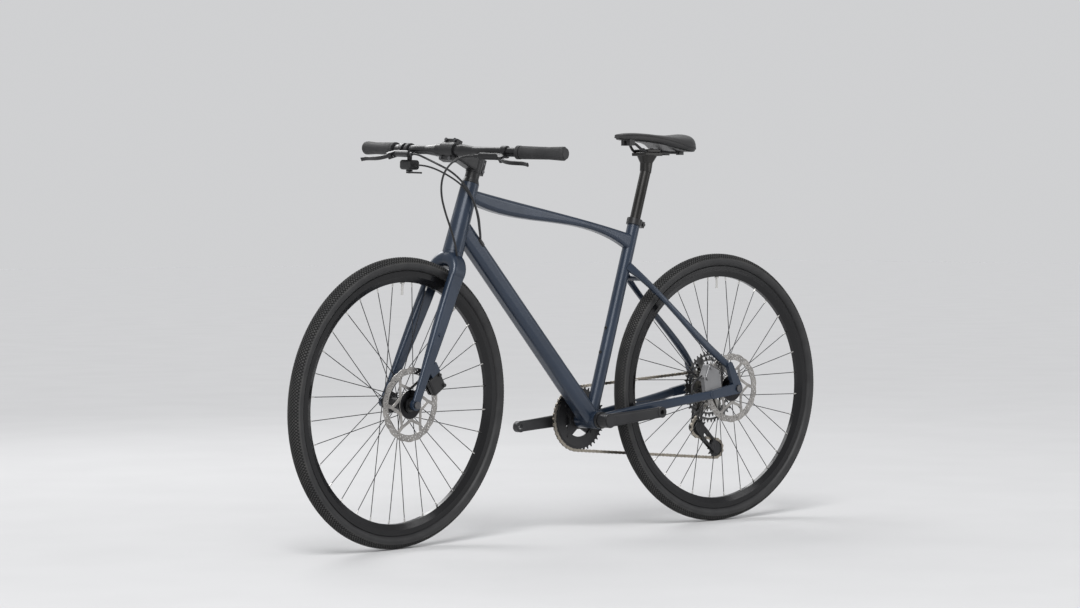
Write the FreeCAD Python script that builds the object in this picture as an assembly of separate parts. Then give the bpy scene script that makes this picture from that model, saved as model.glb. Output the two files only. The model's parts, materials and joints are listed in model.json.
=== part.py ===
import FreeCAD, Part
import cmath
import math
import os

# Hybrid bike, an assembly of separate pieces. Millimetres and degrees.
# +X is forward, +Y is the rider's left and +Z is up.
# The origin is on the ground, midway between the axles.

# Layout of wheels, frame and fork
wheelbase = 1041.0
wheel_radius = 350.0
chainstay_length = 441.0
bottom_bracket_drop = 66.0
head_angle = 72.0
seat_angle = 73.4
fork_offset = 48.0
axle_to_crown = 394.0
steer_angle = 7.5

# Clearances
overrun = 6.0
running_gap = 0.05
press_gap = 0.02
moving_gap = 0.4
seat_gap = 0.15
full_turn = 360.0
route_share = 0.45

# Tyre and rim
tyre_width = 40.0
tyre_casing = 3.0
tyre_bead = 3.2
neck_height = 1.0
bead_seat_radius = 311.0
rim_flange_height = 6.0
rim_inner_width = 21.0
rim_flange_wall = 2.0
rim_depth = 27.0
rim_side_height = 13.0
rim_wall = 1.8
rim_bed_width = 11.0
valve_radius = 3.0
valve_length = 52.0
valve_foot_radius = 5.5
valve_foot_height = 2.0
valve_nut_height = 4.0
valve_angle = 90.0

# Spokes
spoke_count = 32
spoke_radius = 1.0
spoke_head_radius = 1.8
spoke_head_height = 0.8
spoke_stagger = 2.5
spoke_outer_gap = 1.45
lace_turn = 67.5
nipple_radius = 1.95
nipple_length = 13.0
nipple_head = 2.0
nipple_hole_radius = 2.5

# Hubs
spoke_circle_radius = 22.0
hub_flange_radius = 26.0
hub_flange_thickness = 3.0
hub_barrel_radius = 15.0
hub_root_radius = 19.0
hub_bore_radius = 8.0
hub_neck_radius = 16.5
hub_shoulder_radius = 20.0
hub_shoulder_width = 3.0
hub_bearing_radius = 12.5
hub_bearing_width = 7.0
axle_radius = 6.0
end_cap_radius = 10.0
axle_head_radius = 9.0
axle_head_width = 4.0
front_left_flange = 21.0
front_right_flange = 33.0
front_hub_right_end = 41.0
front_hub_spacing = 100.0
rear_left_flange = 33.0
rear_right_flange = 18.0
rear_hub_right_end = 21.5
rear_hub_spacing = 142.0

# Brake rotors
rotor_radius = 90.0
rotor_wave = 2.2
rotor_lobes = 18
rotor_track_share = 0.19
rotor_thickness = 1.8
rotor_spigot_radius = 17.0
rotor_arms = 6
# Corners of the openings between the arms: radius as a share of the disc, angle as a share of one arm's turn
rotor_window_shares = ((0.66, 0.85), (0.46, 0.42), (0.66, -0.01))
rotor_window_edge_shares = (0.06, 0.50, 0.94)
rotor_eye_shares = ((0.39, 0.50), (0.39, 0.92), (0.39, 1.34), (0.60, 0.92))
rotor_hole_radius = 1.8
rotor_hole_rows = 3
rotor_hole_columns = 30
rotor_hole_lean = 4.0
lockring_radius = 21.0
lockring_width = 3.0
front_rotor_place = 37.0
rear_rotor_place = 56.0

# Main tubes
tube_wall = 2.2
head_tube_length = 175.0
head_top_radius = 22.0
head_bottom_radius = 25.5
head_bore_radius = 17.5
head_bearing_radius = 19.5
head_bearing_height = 8.0
lower_bearing_radius = 21.5
down_on_head = 66.0
down_head_width = 40.0
down_head_depth = 46.0
down_mid_width = 46.0
down_mid_depth = 44.0
down_foot_width = 52.0
down_foot_depth = 44.0
tube_corner_share = 0.34
top_on_head = 146.0
top_on_seat = 477.0
top_head_width = 38.0
top_head_depth = 28.0
top_mid_width = 36.0
top_mid_depth = 27.0
top_neck_width = 31.0
top_neck_depth = 24.0
top_neck_place = 82.0
top_gusset_width = 26.0
top_gusset_depth = 44.0
top_gusset_drop = 13.0
top_mid_share = 0.5
seat_tube_radius = 16.0
seat_tube_length = 528.0
shell_radius = 23.0
shell_width = 73.0
shell_bore_radius = 17.5

# Rear stays and dropouts
chainstay_start_place = 29.0
chainstay_start_height = 26.0
chainstay_start_width = 16.0
chainstay_neck_reach = 92.0
chainstay_neck_place = 33.5
chainstay_neck_height = 27.0
chainstay_neck_width = 13.0
chainstay_mid_reach = 230.0
chainstay_mid_place = 51.0
chainstay_mid_height = 24.0
chainstay_mid_width = 16.0
chainstay_end_reach = 352.0
chainstay_end_height = 22.0
chainstay_end_width = 14.0
seatstay_join = 404.0
seatstay_rise = 36.0
seatstay_start_place = 12.0
seatstay_neck_reach = 70.0
seatstay_neck_place = 33.0
seatstay_mid_reach = 215.0
seatstay_mid_place = 47.0
seatstay_end_reach = 405.0
seatstay_width = 13.0
seatstay_depth = 16.0
seatstay_start_depth = 24.0
bridge_reach = 48.0
bridge_radius = 7.0
dropout_inner = 72.0
dropout_thickness = 12.0
dropout_eye_radius = 14.0
dropout_arm_radius = 8.6
stay_wall = 1.8
hanger_thickness = 5.0
hanger_back = 8.0
hanger_drop = 28.0
hanger_end_radius = 10.0
hanger_bolt_radius = 4.0

# Frame fittings
boss_radius = 4.5
boss_bore_radius = 2.1
boss_height = 1.6
boss_length = 8.0
boss_spacing = 64.0
seat_boss_place = 172.0
down_boss_place = 215.0
port_place = 64.0
port_turn = 50.0
port_length = 26.0
port_width = 13.0
port_height = 1.5
port_depth = 7.0
cup_radius = 21.0
cup_width = 9.5
cup_sleeve = 13.0
collar_height = 16.0
collar_wall = 4.0
collar_ear_length = 11.0
collar_ear_width = 16.0
collar_slot = 2.0
collar_bolt_radius = 2.5
collar_bolt_head_radius = 4.2

# Fork
steerer_radius = 14.3
crown_boss_height = 14.0
crown_gap = 3.0
crown_height = 36.0
crown_chord = 51.0
crown_side_place = 17.0
crown_side_drop = 3.0
crown_side_lean = 20.0
shoulder_place = 31.5
shoulder_drop = 16.0
shoulder_lean = 55.0
shoulder_thickness = 28.0
shoulder_chord = 48.0
blade_lean = 88.0
blade_top_place = 39.0
blade_top_drop = 42.0
blade_top_thickness = 20.0
blade_top_chord = 45.0
blade_upper_place = 41.5
blade_upper_height = 250.0
blade_upper_thickness = 20.0
blade_upper_chord = 42.0
blade_mid_place = 45.5
blade_mid_height = 170.0
blade_mid_thickness = 19.0
blade_mid_chord = 37.0
blade_low_place = 50.0
blade_low_height = 88.0
blade_low_thickness = 14.0
blade_low_chord = 29.0
blade_tip_place = 54.5
blade_tip_height = 8.0
blade_tip_thickness = 9.0
blade_tip_chord = 24.0
fork_end_thickness = 9.0
fork_end_radius = 13.5
fork_boss_height = 180.0
fork_boss_reach = 10.5
fork_screw_radius = 3.4
fork_screw_height = 1.8
blade_corner_share = 0.42

# Cockpit
cover_height = 13.0
spacer_height = 15.0
spacer_radius = 17.5
stem_height = 40.0
stem_wall = 4.5
stem_length = 91.0
stem_rise = 6.0
stem_root_width = 34.0
stem_root_height = 36.0
stem_nose_width = 32.0
stem_nose_height = 30.0
stem_clamp_width = 44.0
stem_clamp_wall = 5.0
stem_split_gap = 1.0
faceplate_ear_height = 13.0
faceplate_ear_depth = 9.0
faceplate_bolt_radius = 2.5
faceplate_bolt_head = 4.2
faceplate_bolt_spacing = 30.0
stem_bolt_length = 16.0
stem_bolt_shares = (0.25, 0.75)
stem_rear_ear = 9.0
stem_rear_slot = 2.0
top_cap_height = 4.0
top_cap_radius = 17.0
top_cap_bolt_radius = 4.5
top_cap_bolt_height = 1.6
bar_clamp_radius = 15.9
bar_radius = 11.1
bar_wall = 2.2
bar_clamp_half = 42.0
bar_taper_end = 80.0
bar_bend_place = 120.0
bar_half_width = 340.0
bar_sweep = 10.5

# Grips
grip_length = 134.0
grip_inner_radius = 15.8
grip_waist_radius = 14.9
grip_outer_radius = 16.6
grip_ring_width = 9.0
grip_ring_radius = 16.4
grip_round = 3.0
plug_radius = 13.0
plug_width = 2.5
plug_stem_length = 18.0

# Brake levers
lever_tilt = 26.0
perch_place = 36.0
perch_ring_width = 14.0
perch_ring_wall = 4.0
perch_reach = 25.0
perch_radius = 8.5
perch_inner = 58.0
perch_outer = 8.0
perch_neck_radius = 6.0
hose_nut_radius = 4.2
hose_nut_length = 14.0
pivot_reach = 37.0
pivot_outer = 12.0
pivot_radius = 2.5
lever_eye_radius = 6.0
lever_eye_height = 9.0
lug_thickness = 3.0
lug_radius = 6.5
lug_width = 11.0
lever_knee_outer = 34.0
lever_knee_reach = 52.0
lever_mid_outer = 66.0
lever_mid_reach = 57.0
lever_end_outer = 94.0
lever_end_reach = 60.0
lever_tip_outer = 103.0
lever_tip_reach = 64.0
lever_root_width = 9.0
lever_blade_width = 6.0
lever_blade_height = 10.0

# Gear shifter
shifter_place = 62.0
shifter_ring_width = 11.0
pod_length = 44.0
pod_depth = 34.0
pod_height = 24.0
pod_round = 7.0
pod_drop = 38.0
pod_forward = 0.0
paddle_pin_radius = 3.0
paddle_eye_radius = 8.0
paddle_tip_radius = 6.5
paddle_thickness = 4.0
thumb_length = 29.0
release_length = 27.0
thumb_angle = 205.0
release_angle = 330.0

# Brake calipers
caliper_inner = 12.5
caliper_outer = 17.0
caliper_half_length = 23.0
caliper_bite = 23.0
caliper_back = 20.0
caliper_low = rotor_radius - caliper_bite
caliper_high = rotor_radius + caliper_back
caliper_round = 5.0
caliper_slot = 6.6
caliper_edge_gap = 4.0
caliper_slot_high = rotor_radius + caliper_edge_gap
front_caliper_angle = 147.0
rear_caliper_angle = 24.0
pad_thickness = 2.0
pad_half_length = 12.0
pad_height = 17.0
pad_high = rotor_radius
pad_low = pad_high - pad_height
pad_gap = 0.4
caliper_bolt_head = 4.3
caliper_bolt_length = 4.0
caliper_bolt_spread = 15.0
caliper_bolt_rise = 13.0
caliper_bolt_level = rotor_radius + caliper_bolt_rise
caliper_post_level = rotor_radius + caliper_edge_gap
caliper_post_height = 30.0
caliper_post_length = 26.0
foot_half_length = 29.0
foot_half_height = 22.0
foot_width = 13.0

# Crankset and chain
chain_line = 45.0
chain_pitch = 12.7
chain_slack = 1.3
ring_teeth = 40
drive_cog_teeth = 20
roller_radius = 3.85
seat_clearance = 0.12
tooth_height = 3.4
tooth_tip_width = 1.7
tooth_seat_angle = 75.0
tooth_thickness = 1.9
ring_body_thickness = 4.0
ring_body_outer = 72.0
ring_body_inner = 46.0
crank_length = 170.0
crank_angle = -5.0
spindle_radius = 12.0
spindle_bore_radius = 9.5
crank_boss_radius = 18.0
crank_root_height = 34.0
crank_root_width = 20.0
crank_mid_height = 29.0
crank_mid_width = 15.0
crank_end_height = 27.0
crank_end_width = 13.0
crank_root_place = 66.0
crank_mid_place = 73.0
crank_end_place = 77.0
crank_outer_place = 78.0
pedal_eye_radius = 14.0
pedal_eye_width = 15.0
pedal_bore_radius = 6.6
spider_thickness = 7.0
spider_radius = 27.0
spider_arms = 4
spider_arm_radius = 9.0
spider_bolt_circle = 55.0
ring_bolt_radius = 5.0
ring_bolt_height = 2.0
crank_cap_radius = 15.0
crank_cap_height = 2.0

# Chain links
plate_radius = 4.1
plate_waist = 2.9
inner_plate_place = 1.1
inner_plate_thickness = 0.85
outer_plate_gap = 0.1
outer_plate_thickness = 0.8
pin_radius = 1.75
pin_gap = 0.1
pin_overhang = 0.1

# Cassette
cog_teeth = (11, 13, 15, 17, 20, 23, 26, 31, 38, 45)
cog_pitch = 4.2
cog_thickness = 1.6
freehub_radius = 17.0
cog_spacer_radius = 20.0
cog_window_from = 23
cog_windows = 6
cog_rim = 9.0
cog_hub = 9.0
cog_arm_turn = 14.0
cassette_lock_radius = 19.0
cassette_lock_bore = 11.0
cassette_lock_width = 2.0

# Rear derailleur
guide_forward = 24.0
guide_drop = 108.0
pulley_teeth = 12
cage_length = 84.0
cage_angle = 228.0
cage_search = 12.0
cage_room = 5.0
cage_plate = 2.0
cage_guide_radius = 15.0
cage_tension_radius = 13.0
cage_window_radius = 7.5
cage_window_share = 0.3
pulley_axle_radius = 3.0
pulley_hub_radius = 6.5
cage_pin_radius = 4.0
knuckle_radius = 13.5
knuckle_width = 15.0
hanger_knuckle_radius = 13.0
hanger_knuckle_width = 14.0
link_height = 22.0
link_root_height = 17.6
link_thickness = 4.0
link_gap = 2.0
link_inset = 6.0

# Seatpost
post_radius = 13.6
post_wall = 2.2
post_neck_radius = 16.0
post_top = 676.0
post_length = 320.0
head_drop = 22.0
cradle_length = 60.0
cradle_width = 54.0
cradle_height = 9.0
yoke_neck_width = 28.6
yoke_length = 56.0
yoke_width = 38.0
yoke_corner_share = 0.45
clamp_plate_height = 8.0
clamp_plate_length = 42.0
clamp_bolt_radius = 3.0
clamp_bolt_head = 4.5
clamp_bolt_spread = 15.0

# Saddle
rail_radius = 3.5
rail_place = 21.0
rail_rise = 29.0
rail_flat_front = 28.0
rail_flat_rear = 40.0
rail_nose_reach = 52.0
rail_nose_rise = 22.0
rail_nose_place = 11.0
rail_tail_reach = 74.0
rail_tail_rise = 0.0
rail_tail_place = 27.0
rail_end_run = 14.0
saddle_front = 102.0
saddle_rear = 121.0
saddle_half_width = 72.0
saddle_top = 78.0
saddle_socket_length = 16.0
saddle_socket_height = 12.0
saddle_socket_floor = 2.0
saddle_socket_width = 12.0
saddle_side_drop = 44.0
saddle_shell_thickness = 3.0
saddle_shell_inset = 3.0
# Each row: place from nose to tail, half width, crown, side edge and underside as shares
saddle_shares = (
    (0.000, 0.150, 0.945, 0.20, 0.26),
    (0.100, 0.255, 0.985, 0.16, 0.31),
    (0.250, 0.305, 1.000, 0.15, 0.35),
    (0.400, 0.375, 0.985, 0.18, 0.40),
    (0.550, 0.560, 0.955, 0.32, 0.52),
    (0.700, 0.840, 0.945, 0.56, 0.76),
    (0.830, 1.000, 0.970, 0.80, 0.92),
    (0.930, 0.950, 0.995, 0.82, 0.92),
    (1.000, 0.700, 0.975, 0.66, 0.74),
)
saddle_bulge_share = 0.05

# Cords
hose_radius = 2.5
cable_radius = 2.2
# The front hose, before the front end is turned
front_hose_route = (
    (394.3, 106.1, 944.8), (397.6, 88.4, 944.8), (407, 69, 939), (422, 55, 926), (434, 46, 905),
    (439, 41, 877), (434, 38, 845), (420, 36, 812), (403, 36, 778), (388, 36, 747), (375.5, 33.5, 719),
    (366.5, 27.5, 699), (361.5, 20, 684),
)
# The rear hose and the gear cable, where they stand
rear_hose_route = (
    (406.6, -90.6, 948.8), (407.7, -70.6, 948.0), (402, -45, 938), (386, -20, 924), (364, 2, 908),
    (345, 20, 886), (328, 32, 858), (314, 37, 826), (303, 36, 792), (294.3, 30.1, 760.8),
    (286.8, 24.3, 743.9), (281.4, 16.8, 727.6),
)
gear_cable_route = (
    (383.6, -100.4, 922.1), (384.8, -80.4, 921.3), (380, -56, 917), (371, -31, 908), (356, -9, 894),
    (338, 10, 876), (321, 24, 852), (307, 30, 824), (297, 31.5, 794), (290.2, 26.8, 764.3),
    (282.9, 20.5, 747.3), (277.6, 12.6, 730.8),
)
hose_tail_route = (
    (-372, 66, 338), (-372, 65, 352), (-380, 61, 366), (-394, 58, 375), (-421, 54.5, 386.5),
)
cable_tail_route = (
    (-437, -74, 321), (-456, -77, 312), (-481, -84, 306), (-505, -88, 308), (-517, -87, 318),
)

V = FreeCAD.Vector
X_AXIS = V(1, 0, 0)
Y_AXIS = V(0, 1, 0)
Z_AXIS = V(0, 0, 1)


def heading(angle):
    """Unit vector in the XZ plane, from +X towards +Z."""
    return V(math.cos(math.radians(angle)), 0, math.sin(math.radians(angle)))


def unit(vector):
    return V(vector).normalize()


# Main points of the layout, with the front end straight
rear_axle = V(-wheelbase / 2, 0, wheel_radius)
front_axle = V(wheelbase / 2, 0, wheel_radius)
bottom_bracket = rear_axle + V(
    math.sqrt(chainstay_length**2 - bottom_bracket_drop**2), 0, -bottom_bracket_drop
)
head_up = heading(full_turn / 2 - head_angle)
head_forward = heading(full_turn / 4 - head_angle)
steer_foot = front_axle - head_forward * fork_offset
seat_up = heading(full_turn / 2 - seat_angle)
bar_height = axle_to_crown + head_tube_length + cover_height + spacer_height + stem_height / 2 + stem_rise


def head_point(height, forward=0, left=0):
    """Point by its height along the steering axis, and its reach ahead and to the left."""
    return steer_foot + head_up * height + head_forward * forward + Y_AXIS * left


def seat_point(distance):
    return bottom_bracket + seat_up * distance


head_foot = head_point(axle_to_crown)
head_top = head_point(axle_to_crown + head_tube_length)
bar_centre = head_point(bar_height, stem_length)


# General shapes


def solid(shape):
    """The shape with its volume counted outward."""
    if shape.Volume < 0:
        shape.reverse()
    return shape


def line(start, end):
    return Part.LineSegment(start, end).toShape()


def arc(start, middle, end):
    return Part.Arc(start, middle, end).toShape()


def rod(start, end, radius):
    return Part.makeCylinder(radius, (end - start).Length, start, end - start)


def pipe_ring(start, end, outer, inner):
    along = unit(end - start) * overrun
    return rod(start, end, outer).cut(rod(start - along, end + along, inner))


def turned(corners, base, axis, side):
    """Solid turned about an axis from corners given as radius and place along it."""
    points = [base + side * radius + axis * place for radius, place in corners]
    face = Part.Face(Part.makePolygon(points + points[:1]))
    return solid(face.revolve(base, axis, full_turn))


def wheel_turned(corners, centre):
    return turned(corners, centre, Y_AXIS, X_AXIS)


def disc(centre, radius, low, high):
    """Round plate across Y between two places."""
    return Part.makeCylinder(radius, high - low, V(centre.x, low, centre.z), Y_AXIS)


def capsule(start, end, start_radius, end_radius, low, high):
    """Plate across Y with two round ends and straight tangent sides."""
    start = V(start.x, 0, start.z)
    end = V(end.x, 0, end.z)
    along = end - start
    reach = along.Length
    lean = math.degrees(math.asin((start_radius - end_radius) / reach))
    base = math.degrees(math.atan2(along.z, along.x))
    left = heading(base + full_turn / 4 - lean)
    right = heading(base - full_turn / 4 + lean)
    wire = Part.Wire([
        line(start + right * start_radius, end + right * end_radius),
        arc(end + right * end_radius, end + heading(base) * end_radius, end + left * end_radius),
        line(end + left * end_radius, start + left * start_radius),
        arc(start + left * start_radius, start - heading(base) * start_radius, start + right * start_radius),
    ])
    wire.translate(Y_AXIS * low)
    return solid(Part.Face(wire).extrude(Y_AXIS * (high - low)))


def box(centre, sizes, axes):
    """Box from its centre, its sizes and its three unit axes."""
    a, b, c = [axis * size for axis, size in zip(axes, sizes)]
    corner = centre - (a + b + c) / 2
    wire = Part.makePolygon([corner, corner + a, corner + a + b, corner + b, corner])
    return solid(Part.Face(wire).extrude(c))


def rounded_box(centre, sizes, axes, radius):
    shape = box(centre, sizes, axes)
    return shape.makeFillet(radius, shape.Edges)


def rounded_wire(centre, across, up, width, height, share):
    """Closed outline of a rounded rectangle, its corner radius a share of its shorter side."""
    corner = share * min(width, height)
    arcs = []
    for step, (right, above) in enumerate(((1, 1), (-1, 1), (-1, -1), (1, -1))):
        middle = centre + across * (right * (width / 2 - corner)) + up * (above * (height / 2 - corner))
        spots = []
        for part in range(3):
            angle = math.radians(full_turn * (2 * step + part) / 8)
            spots.append(middle + (across * math.cos(angle) + up * math.sin(angle)) * corner)
        arcs.append(spots)
    edges = []
    for spots, following in zip(arcs, arcs[1:] + arcs[:1]):
        edges.append(arc(*spots))
        edges.append(line(spots[-1], following[0]))
    return Part.Wire(edges)


def loft(wires, ruled=False):
    return solid(Part.makeLoft(wires, True, ruled))


def tube_between(stations, across, wall, share):
    """Hollow loft; each station is a centre, a direction, a width and a depth."""
    def skin(inset):
        wires = []
        for centre, along, width, depth in stations:
            side = unit(across - unit(along) * across.dot(unit(along)))
            up = unit(along).cross(side)
            wires.append(rounded_wire(centre, side, up, width - inset, depth - inset, share))
        return loft(wires)
    return skin(0), skin(2 * wall)


def route_bends(points):
    """Corner, ways in and out, half turn, run cut off and radius of each bend of a route."""
    for before, corner, after in zip(points, points[1:], points[2:]):
        entering = unit(corner - before)
        leaving = unit(after - corner)
        half_turn = entering.getAngle(leaving) / 2
        cut = route_share * min((corner - before).Length, (after - corner).Length)
        yield corner, entering, leaving, half_turn, cut, cut / math.tan(half_turn)


def route_wire(points):
    """Straight runs joined by tangent arcs as large as their runs allow."""
    edges = []
    last = points[0]
    for corner, entering, leaving, half_turn, cut, radius in route_bends(points):
        inward = unit(leaving - entering)
        middle = corner + inward * (radius / math.cos(half_turn) - radius)
        edges.append(line(last, corner - entering * cut))
        edges.append(arc(corner - entering * cut, middle, corner + leaving * cut))
        last = corner + leaving * cut
    edges.append(line(last, points[-1]))
    return Part.Wire(edges)


def cord(points, radius):
    """Round tube along a route."""
    path = route_wire(points)
    profile = Part.Wire(Part.makeCircle(radius, points[0], points[1] - points[0]))
    return solid(path.makePipeShell([profile], True, False))


def plate(outline, holes, low, high):
    """Plate across Y from an outline and its holes in the XZ plane."""
    face = Part.makeFace(Part.Compound([outline] + holes), "Part::FaceMakerBullseye")
    face.translate(Y_AXIS * low)
    return solid(face.extrude(Y_AXIS * (high - low)))


def circle_wire(centre, radius):
    return Part.Wire(Part.makeCircle(radius, V(centre.x, 0, centre.z), Y_AXIS))


def ring_about(shape, centre, count):
    """Copies of a shape spaced evenly round the Y axis through a centre."""
    copies = []
    for step in range(count):
        copy = shape.copy()
        copy.rotate(centre, Y_AXIS, full_turn * step / count)
        copies.append(copy)
    return copies


def mirrored(shape):
    return solid(shape.mirror(V(0, 0, 0), Y_AXIS))


def both_sides(shape):
    return [shape, mirrored(shape)]


def union(shapes):
    return shapes[0].multiFuse(shapes[1:]).removeSplitter()


# Wheels


def tyre(centre):
    """Hollow casing whose beads sit on the rim."""
    bead_side = rim_inner_width / 2 - seat_gap
    bead_foot = bead_seat_radius + seat_gap
    crown_centre = wheel_radius - tyre_width / 2
    neck = bead_seat_radius + rim_flange_height + neck_height
    rise = crown_centre - neck
    swell = tyre_width / 2 - bead_side
    side_arc = (rise**2 + swell**2) / (2 * swell)

    def half(inset, bead_inset, side):
        """Edges from the bead up to the crown on one side."""
        inner_side = bead_side - bead_inset
        lean = math.atan2(rise, side_arc - swell) / 2
        hip = crown_centre - (side_arc - inset) * math.sin(lean)
        bulge = tyre_width / 2 - side_arc + (side_arc - inset) * math.cos(lean)
        shoulder = (tyre_width / 2 - inset) * math.cos(math.pi / 4)
        spots = [
            (bead_foot, inner_side), (neck, inner_side), (hip, bulge),
            (crown_centre, tyre_width / 2 - inset), (crown_centre + shoulder, shoulder),
            (wheel_radius - inset, 0),
        ]
        foot, low, mid, wide, high, top = [centre + V(radius, side * place, 0) for radius, place in spots]
        return [line(foot, low), arc(low, mid, wide), arc(wide, high, top)], foot

    outer_left, foot_left = half(0, 0, 1)
    outer_right, foot_right = half(0, 0, -1)
    inner_left, inner_foot_left = half(tyre_casing, tyre_bead, 1)
    inner_right, inner_foot_right = half(tyre_casing, tyre_bead, -1)
    ends = [line(foot_left, inner_foot_left), line(foot_right, inner_foot_right)]
    edges = outer_left + outer_right + inner_left + inner_right + ends
    wire = Part.Wire(Part.__sortEdges__(edges))
    return [solid(Part.Face(wire).revolve(centre, Y_AXIS, full_turn))]


rim_top = bead_seat_radius + rim_flange_height
rim_bed = rim_top - rim_depth


def spoke_places():
    """Rim angle, side and lacing way of the four spokes that repeat round a wheel."""
    step = full_turn / spoke_count
    for number in range(4):
        side = 1 if number % 2 == 0 else -1
        way = 1 if number < 2 else -1
        yield step * (2 * number + 1) / 2, side, way


def rim(centre):
    """Hollow rim with spoke holes, and its valve."""
    inner = rim_inner_width / 2
    outer = inner + rim_flange_wall
    knee = rim_top - rim_side_height
    bed = rim_bed_width / 2
    half = [(rim_top, outer), (knee, outer), (rim_bed, bed)]
    other = [(radius, -place) for radius, place in reversed(half)]
    well = [(rim_top, -inner), (bead_seat_radius, -inner), (bead_seat_radius, inner), (rim_top, inner)]
    body = wheel_turned(half + other + well, centre)
    side_room = outer - rim_wall
    room = [(bead_seat_radius - rim_wall, side_room), (knee, side_room), (rim_bed + rim_wall, bed)]
    room += [(radius, -place) for radius, place in reversed(room)]
    cutters = [wheel_turned(room, centre)]
    for angle, side, _ in spoke_places():
        start = centre + heading(angle) * (rim_bed - overrun) + Y_AXIS * (side * spoke_stagger)
        end = start + heading(angle) * (rim_wall + 2 * overrun)
        cutters += ring_about(rod(start, end, nipple_hole_radius), centre, spoke_count // 4)
    up = heading(valve_angle)
    seat = centre + up * bead_seat_radius
    cutters.append(rod(seat + up * overrun, centre + up * (rim_bed - overrun), valve_radius + seat_gap))
    stem = rod(seat + up * valve_foot_height, seat - up * valve_length, valve_radius)
    foot = rod(seat, seat + up * valve_foot_height, valve_foot_radius)
    nut = rod(centre + up * rim_bed, centre + up * (rim_bed - valve_nut_height), valve_foot_radius)
    return [body.cut(Part.Compound(cutters)), union([stem, foot, nut])]


def spokes(centre, left_flange, right_flange):
    """Bent spokes laced from both flanges, each with its nipple."""
    made = []
    half = hub_flange_thickness / 2 + spoke_radius
    for rim_angle, side, way in spoke_places():
        flange = left_flange if side > 0 else -right_flange
        hub_spot = centre + heading(rim_angle + way * lace_turn) * spoke_circle_radius
        room = spoke_outer_gap if way > 0 else seat_gap
        elbow = hub_spot + Y_AXIS * (flange + side * way * (half + room))
        head = hub_spot + Y_AXIS * (flange - side * way * (half + seat_gap))
        outward = unit(head - elbow)
        rim_reach = rim_bed + rim_wall + nipple_head
        end = centre + heading(rim_angle) * rim_reach + Y_AXIS * (side * spoke_stagger)
        run = unit(end - elbow)
        spoke = union([
            rod(elbow, head, spoke_radius),
            Part.makeSphere(spoke_radius, elbow),
            rod(elbow, end - run * nipple_head, spoke_radius),
            rod(head - outward * spoke_head_height, head, spoke_head_radius),
        ])
        nipple = pipe_ring(end - run * nipple_length, end, nipple_radius, spoke_radius + press_gap)
        for shape in (spoke, nipple):
            made += ring_about(shape, centre, spoke_count // 4)
    return made


def hub(centre, left_flange, right_flange, right_end, rotor_place):
    """Hub shell with its two bearings."""
    half = hub_flange_thickness / 2
    rotor_seat = rotor_place - rotor_thickness / 2
    left_end = rotor_place + rotor_thickness / 2 + lockring_width
    corners = [
        (hub_bore_radius, left_end), (rotor_spigot_radius, left_end), (rotor_spigot_radius, rotor_seat),
        (hub_shoulder_radius, rotor_seat), (hub_shoulder_radius, rotor_seat - hub_shoulder_width),
        (hub_neck_radius, rotor_seat - 2 * hub_shoulder_width), (hub_neck_radius, left_flange + half),
        (hub_flange_radius, left_flange + half), (hub_flange_radius, left_flange - half),
        (hub_root_radius, left_flange - half), (hub_barrel_radius, left_flange - 3 * half),
        (hub_barrel_radius, -right_flange + 3 * half), (hub_root_radius, -right_flange + half),
        (hub_flange_radius, -right_flange + half), (hub_flange_radius, -right_flange - half),
        (hub_neck_radius, -right_flange - half), (hub_neck_radius, -right_end), (hub_bore_radius, -right_end),
    ]
    shell = wheel_turned(corners, centre)
    cutters = []
    bearings = []
    for low, high in ((left_end - hub_bearing_width, left_end), (-right_end, hub_bearing_width - right_end)):
        cutters.append(disc(centre, hub_bearing_radius, low, high))
        race = disc(centre, hub_bearing_radius, low, high)
        bearings.append(race.cut(disc(centre, axle_radius + running_gap, low - overrun, high + overrun)))
    for rim_angle, side, way in spoke_places():
        flange = left_flange if side > 0 else -right_flange
        spot = centre + heading(rim_angle + way * lace_turn) * spoke_circle_radius
        low = flange - hub_flange_thickness
        high = flange + hub_flange_thickness
        hole = disc(spot, spoke_radius + seat_gap, low, high)
        cutters += ring_about(hole, centre, spoke_count // 4)
    return [shell.cut(Part.Compound(cutters))] + bearings


def rotor(centre, place):
    """Waved and drilled brake disc, and the ring that locks it."""
    flat = V(centre.x, 0, centre.z)
    crest = rotor_radius - rotor_wave
    outline = []
    for lobe in range(rotor_lobes):
        spots = []
        for part in range(3):
            radius = rotor_radius if part == 1 else crest
            spots.append(flat + heading(full_turn * (lobe + part / 2) / rotor_lobes) * radius)
        outline.append(arc(*spots))
    holes = [circle_wire(centre, rotor_spigot_radius + press_gap)]
    track_inner = rotor_radius * (1 - rotor_track_share)
    span = full_turn / rotor_arms

    def spot(arm, share, turn):
        return flat + heading(span * (arm + turn)) * (rotor_radius * share)

    for arm in range(rotor_arms):
        rim = [spot(arm, 1 - rotor_track_share, turn) for turn in rotor_window_edge_shares]
        corners = [rim[-1]] + [spot(arm, *row) for row in rotor_window_shares] + [rim[0]]
        sides = [line(first, second) for first, second in zip(corners, corners[1:])]
        holes.append(Part.Wire([arc(*rim)] + sides))
        eye = [spot(arm, *row) for row in rotor_eye_shares]
        holes.append(Part.Wire([arc(*eye[:3]), line(eye[2], eye[3]), line(eye[3], eye[0])]))
    for row in range(rotor_hole_rows):
        radius = track_inner + (crest - track_inner) * (row + 1) / (rotor_hole_rows + 1)
        for column in range(rotor_hole_columns):
            angle = full_turn * column / rotor_hole_columns + rotor_hole_lean * row
            holes.append(circle_wire(centre + heading(angle) * radius, rotor_hole_radius))
    low = place - rotor_thickness / 2
    high = place + rotor_thickness / 2
    blade = plate(Part.Wire(outline), holes, low, high)
    lock = wheel_turned([
        (rotor_spigot_radius + press_gap, high), (lockring_radius, high),
        (lockring_radius, high + lockring_width), (rotor_spigot_radius + press_gap, high + lockring_width),
    ], centre)
    return [blade, lock]


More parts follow.
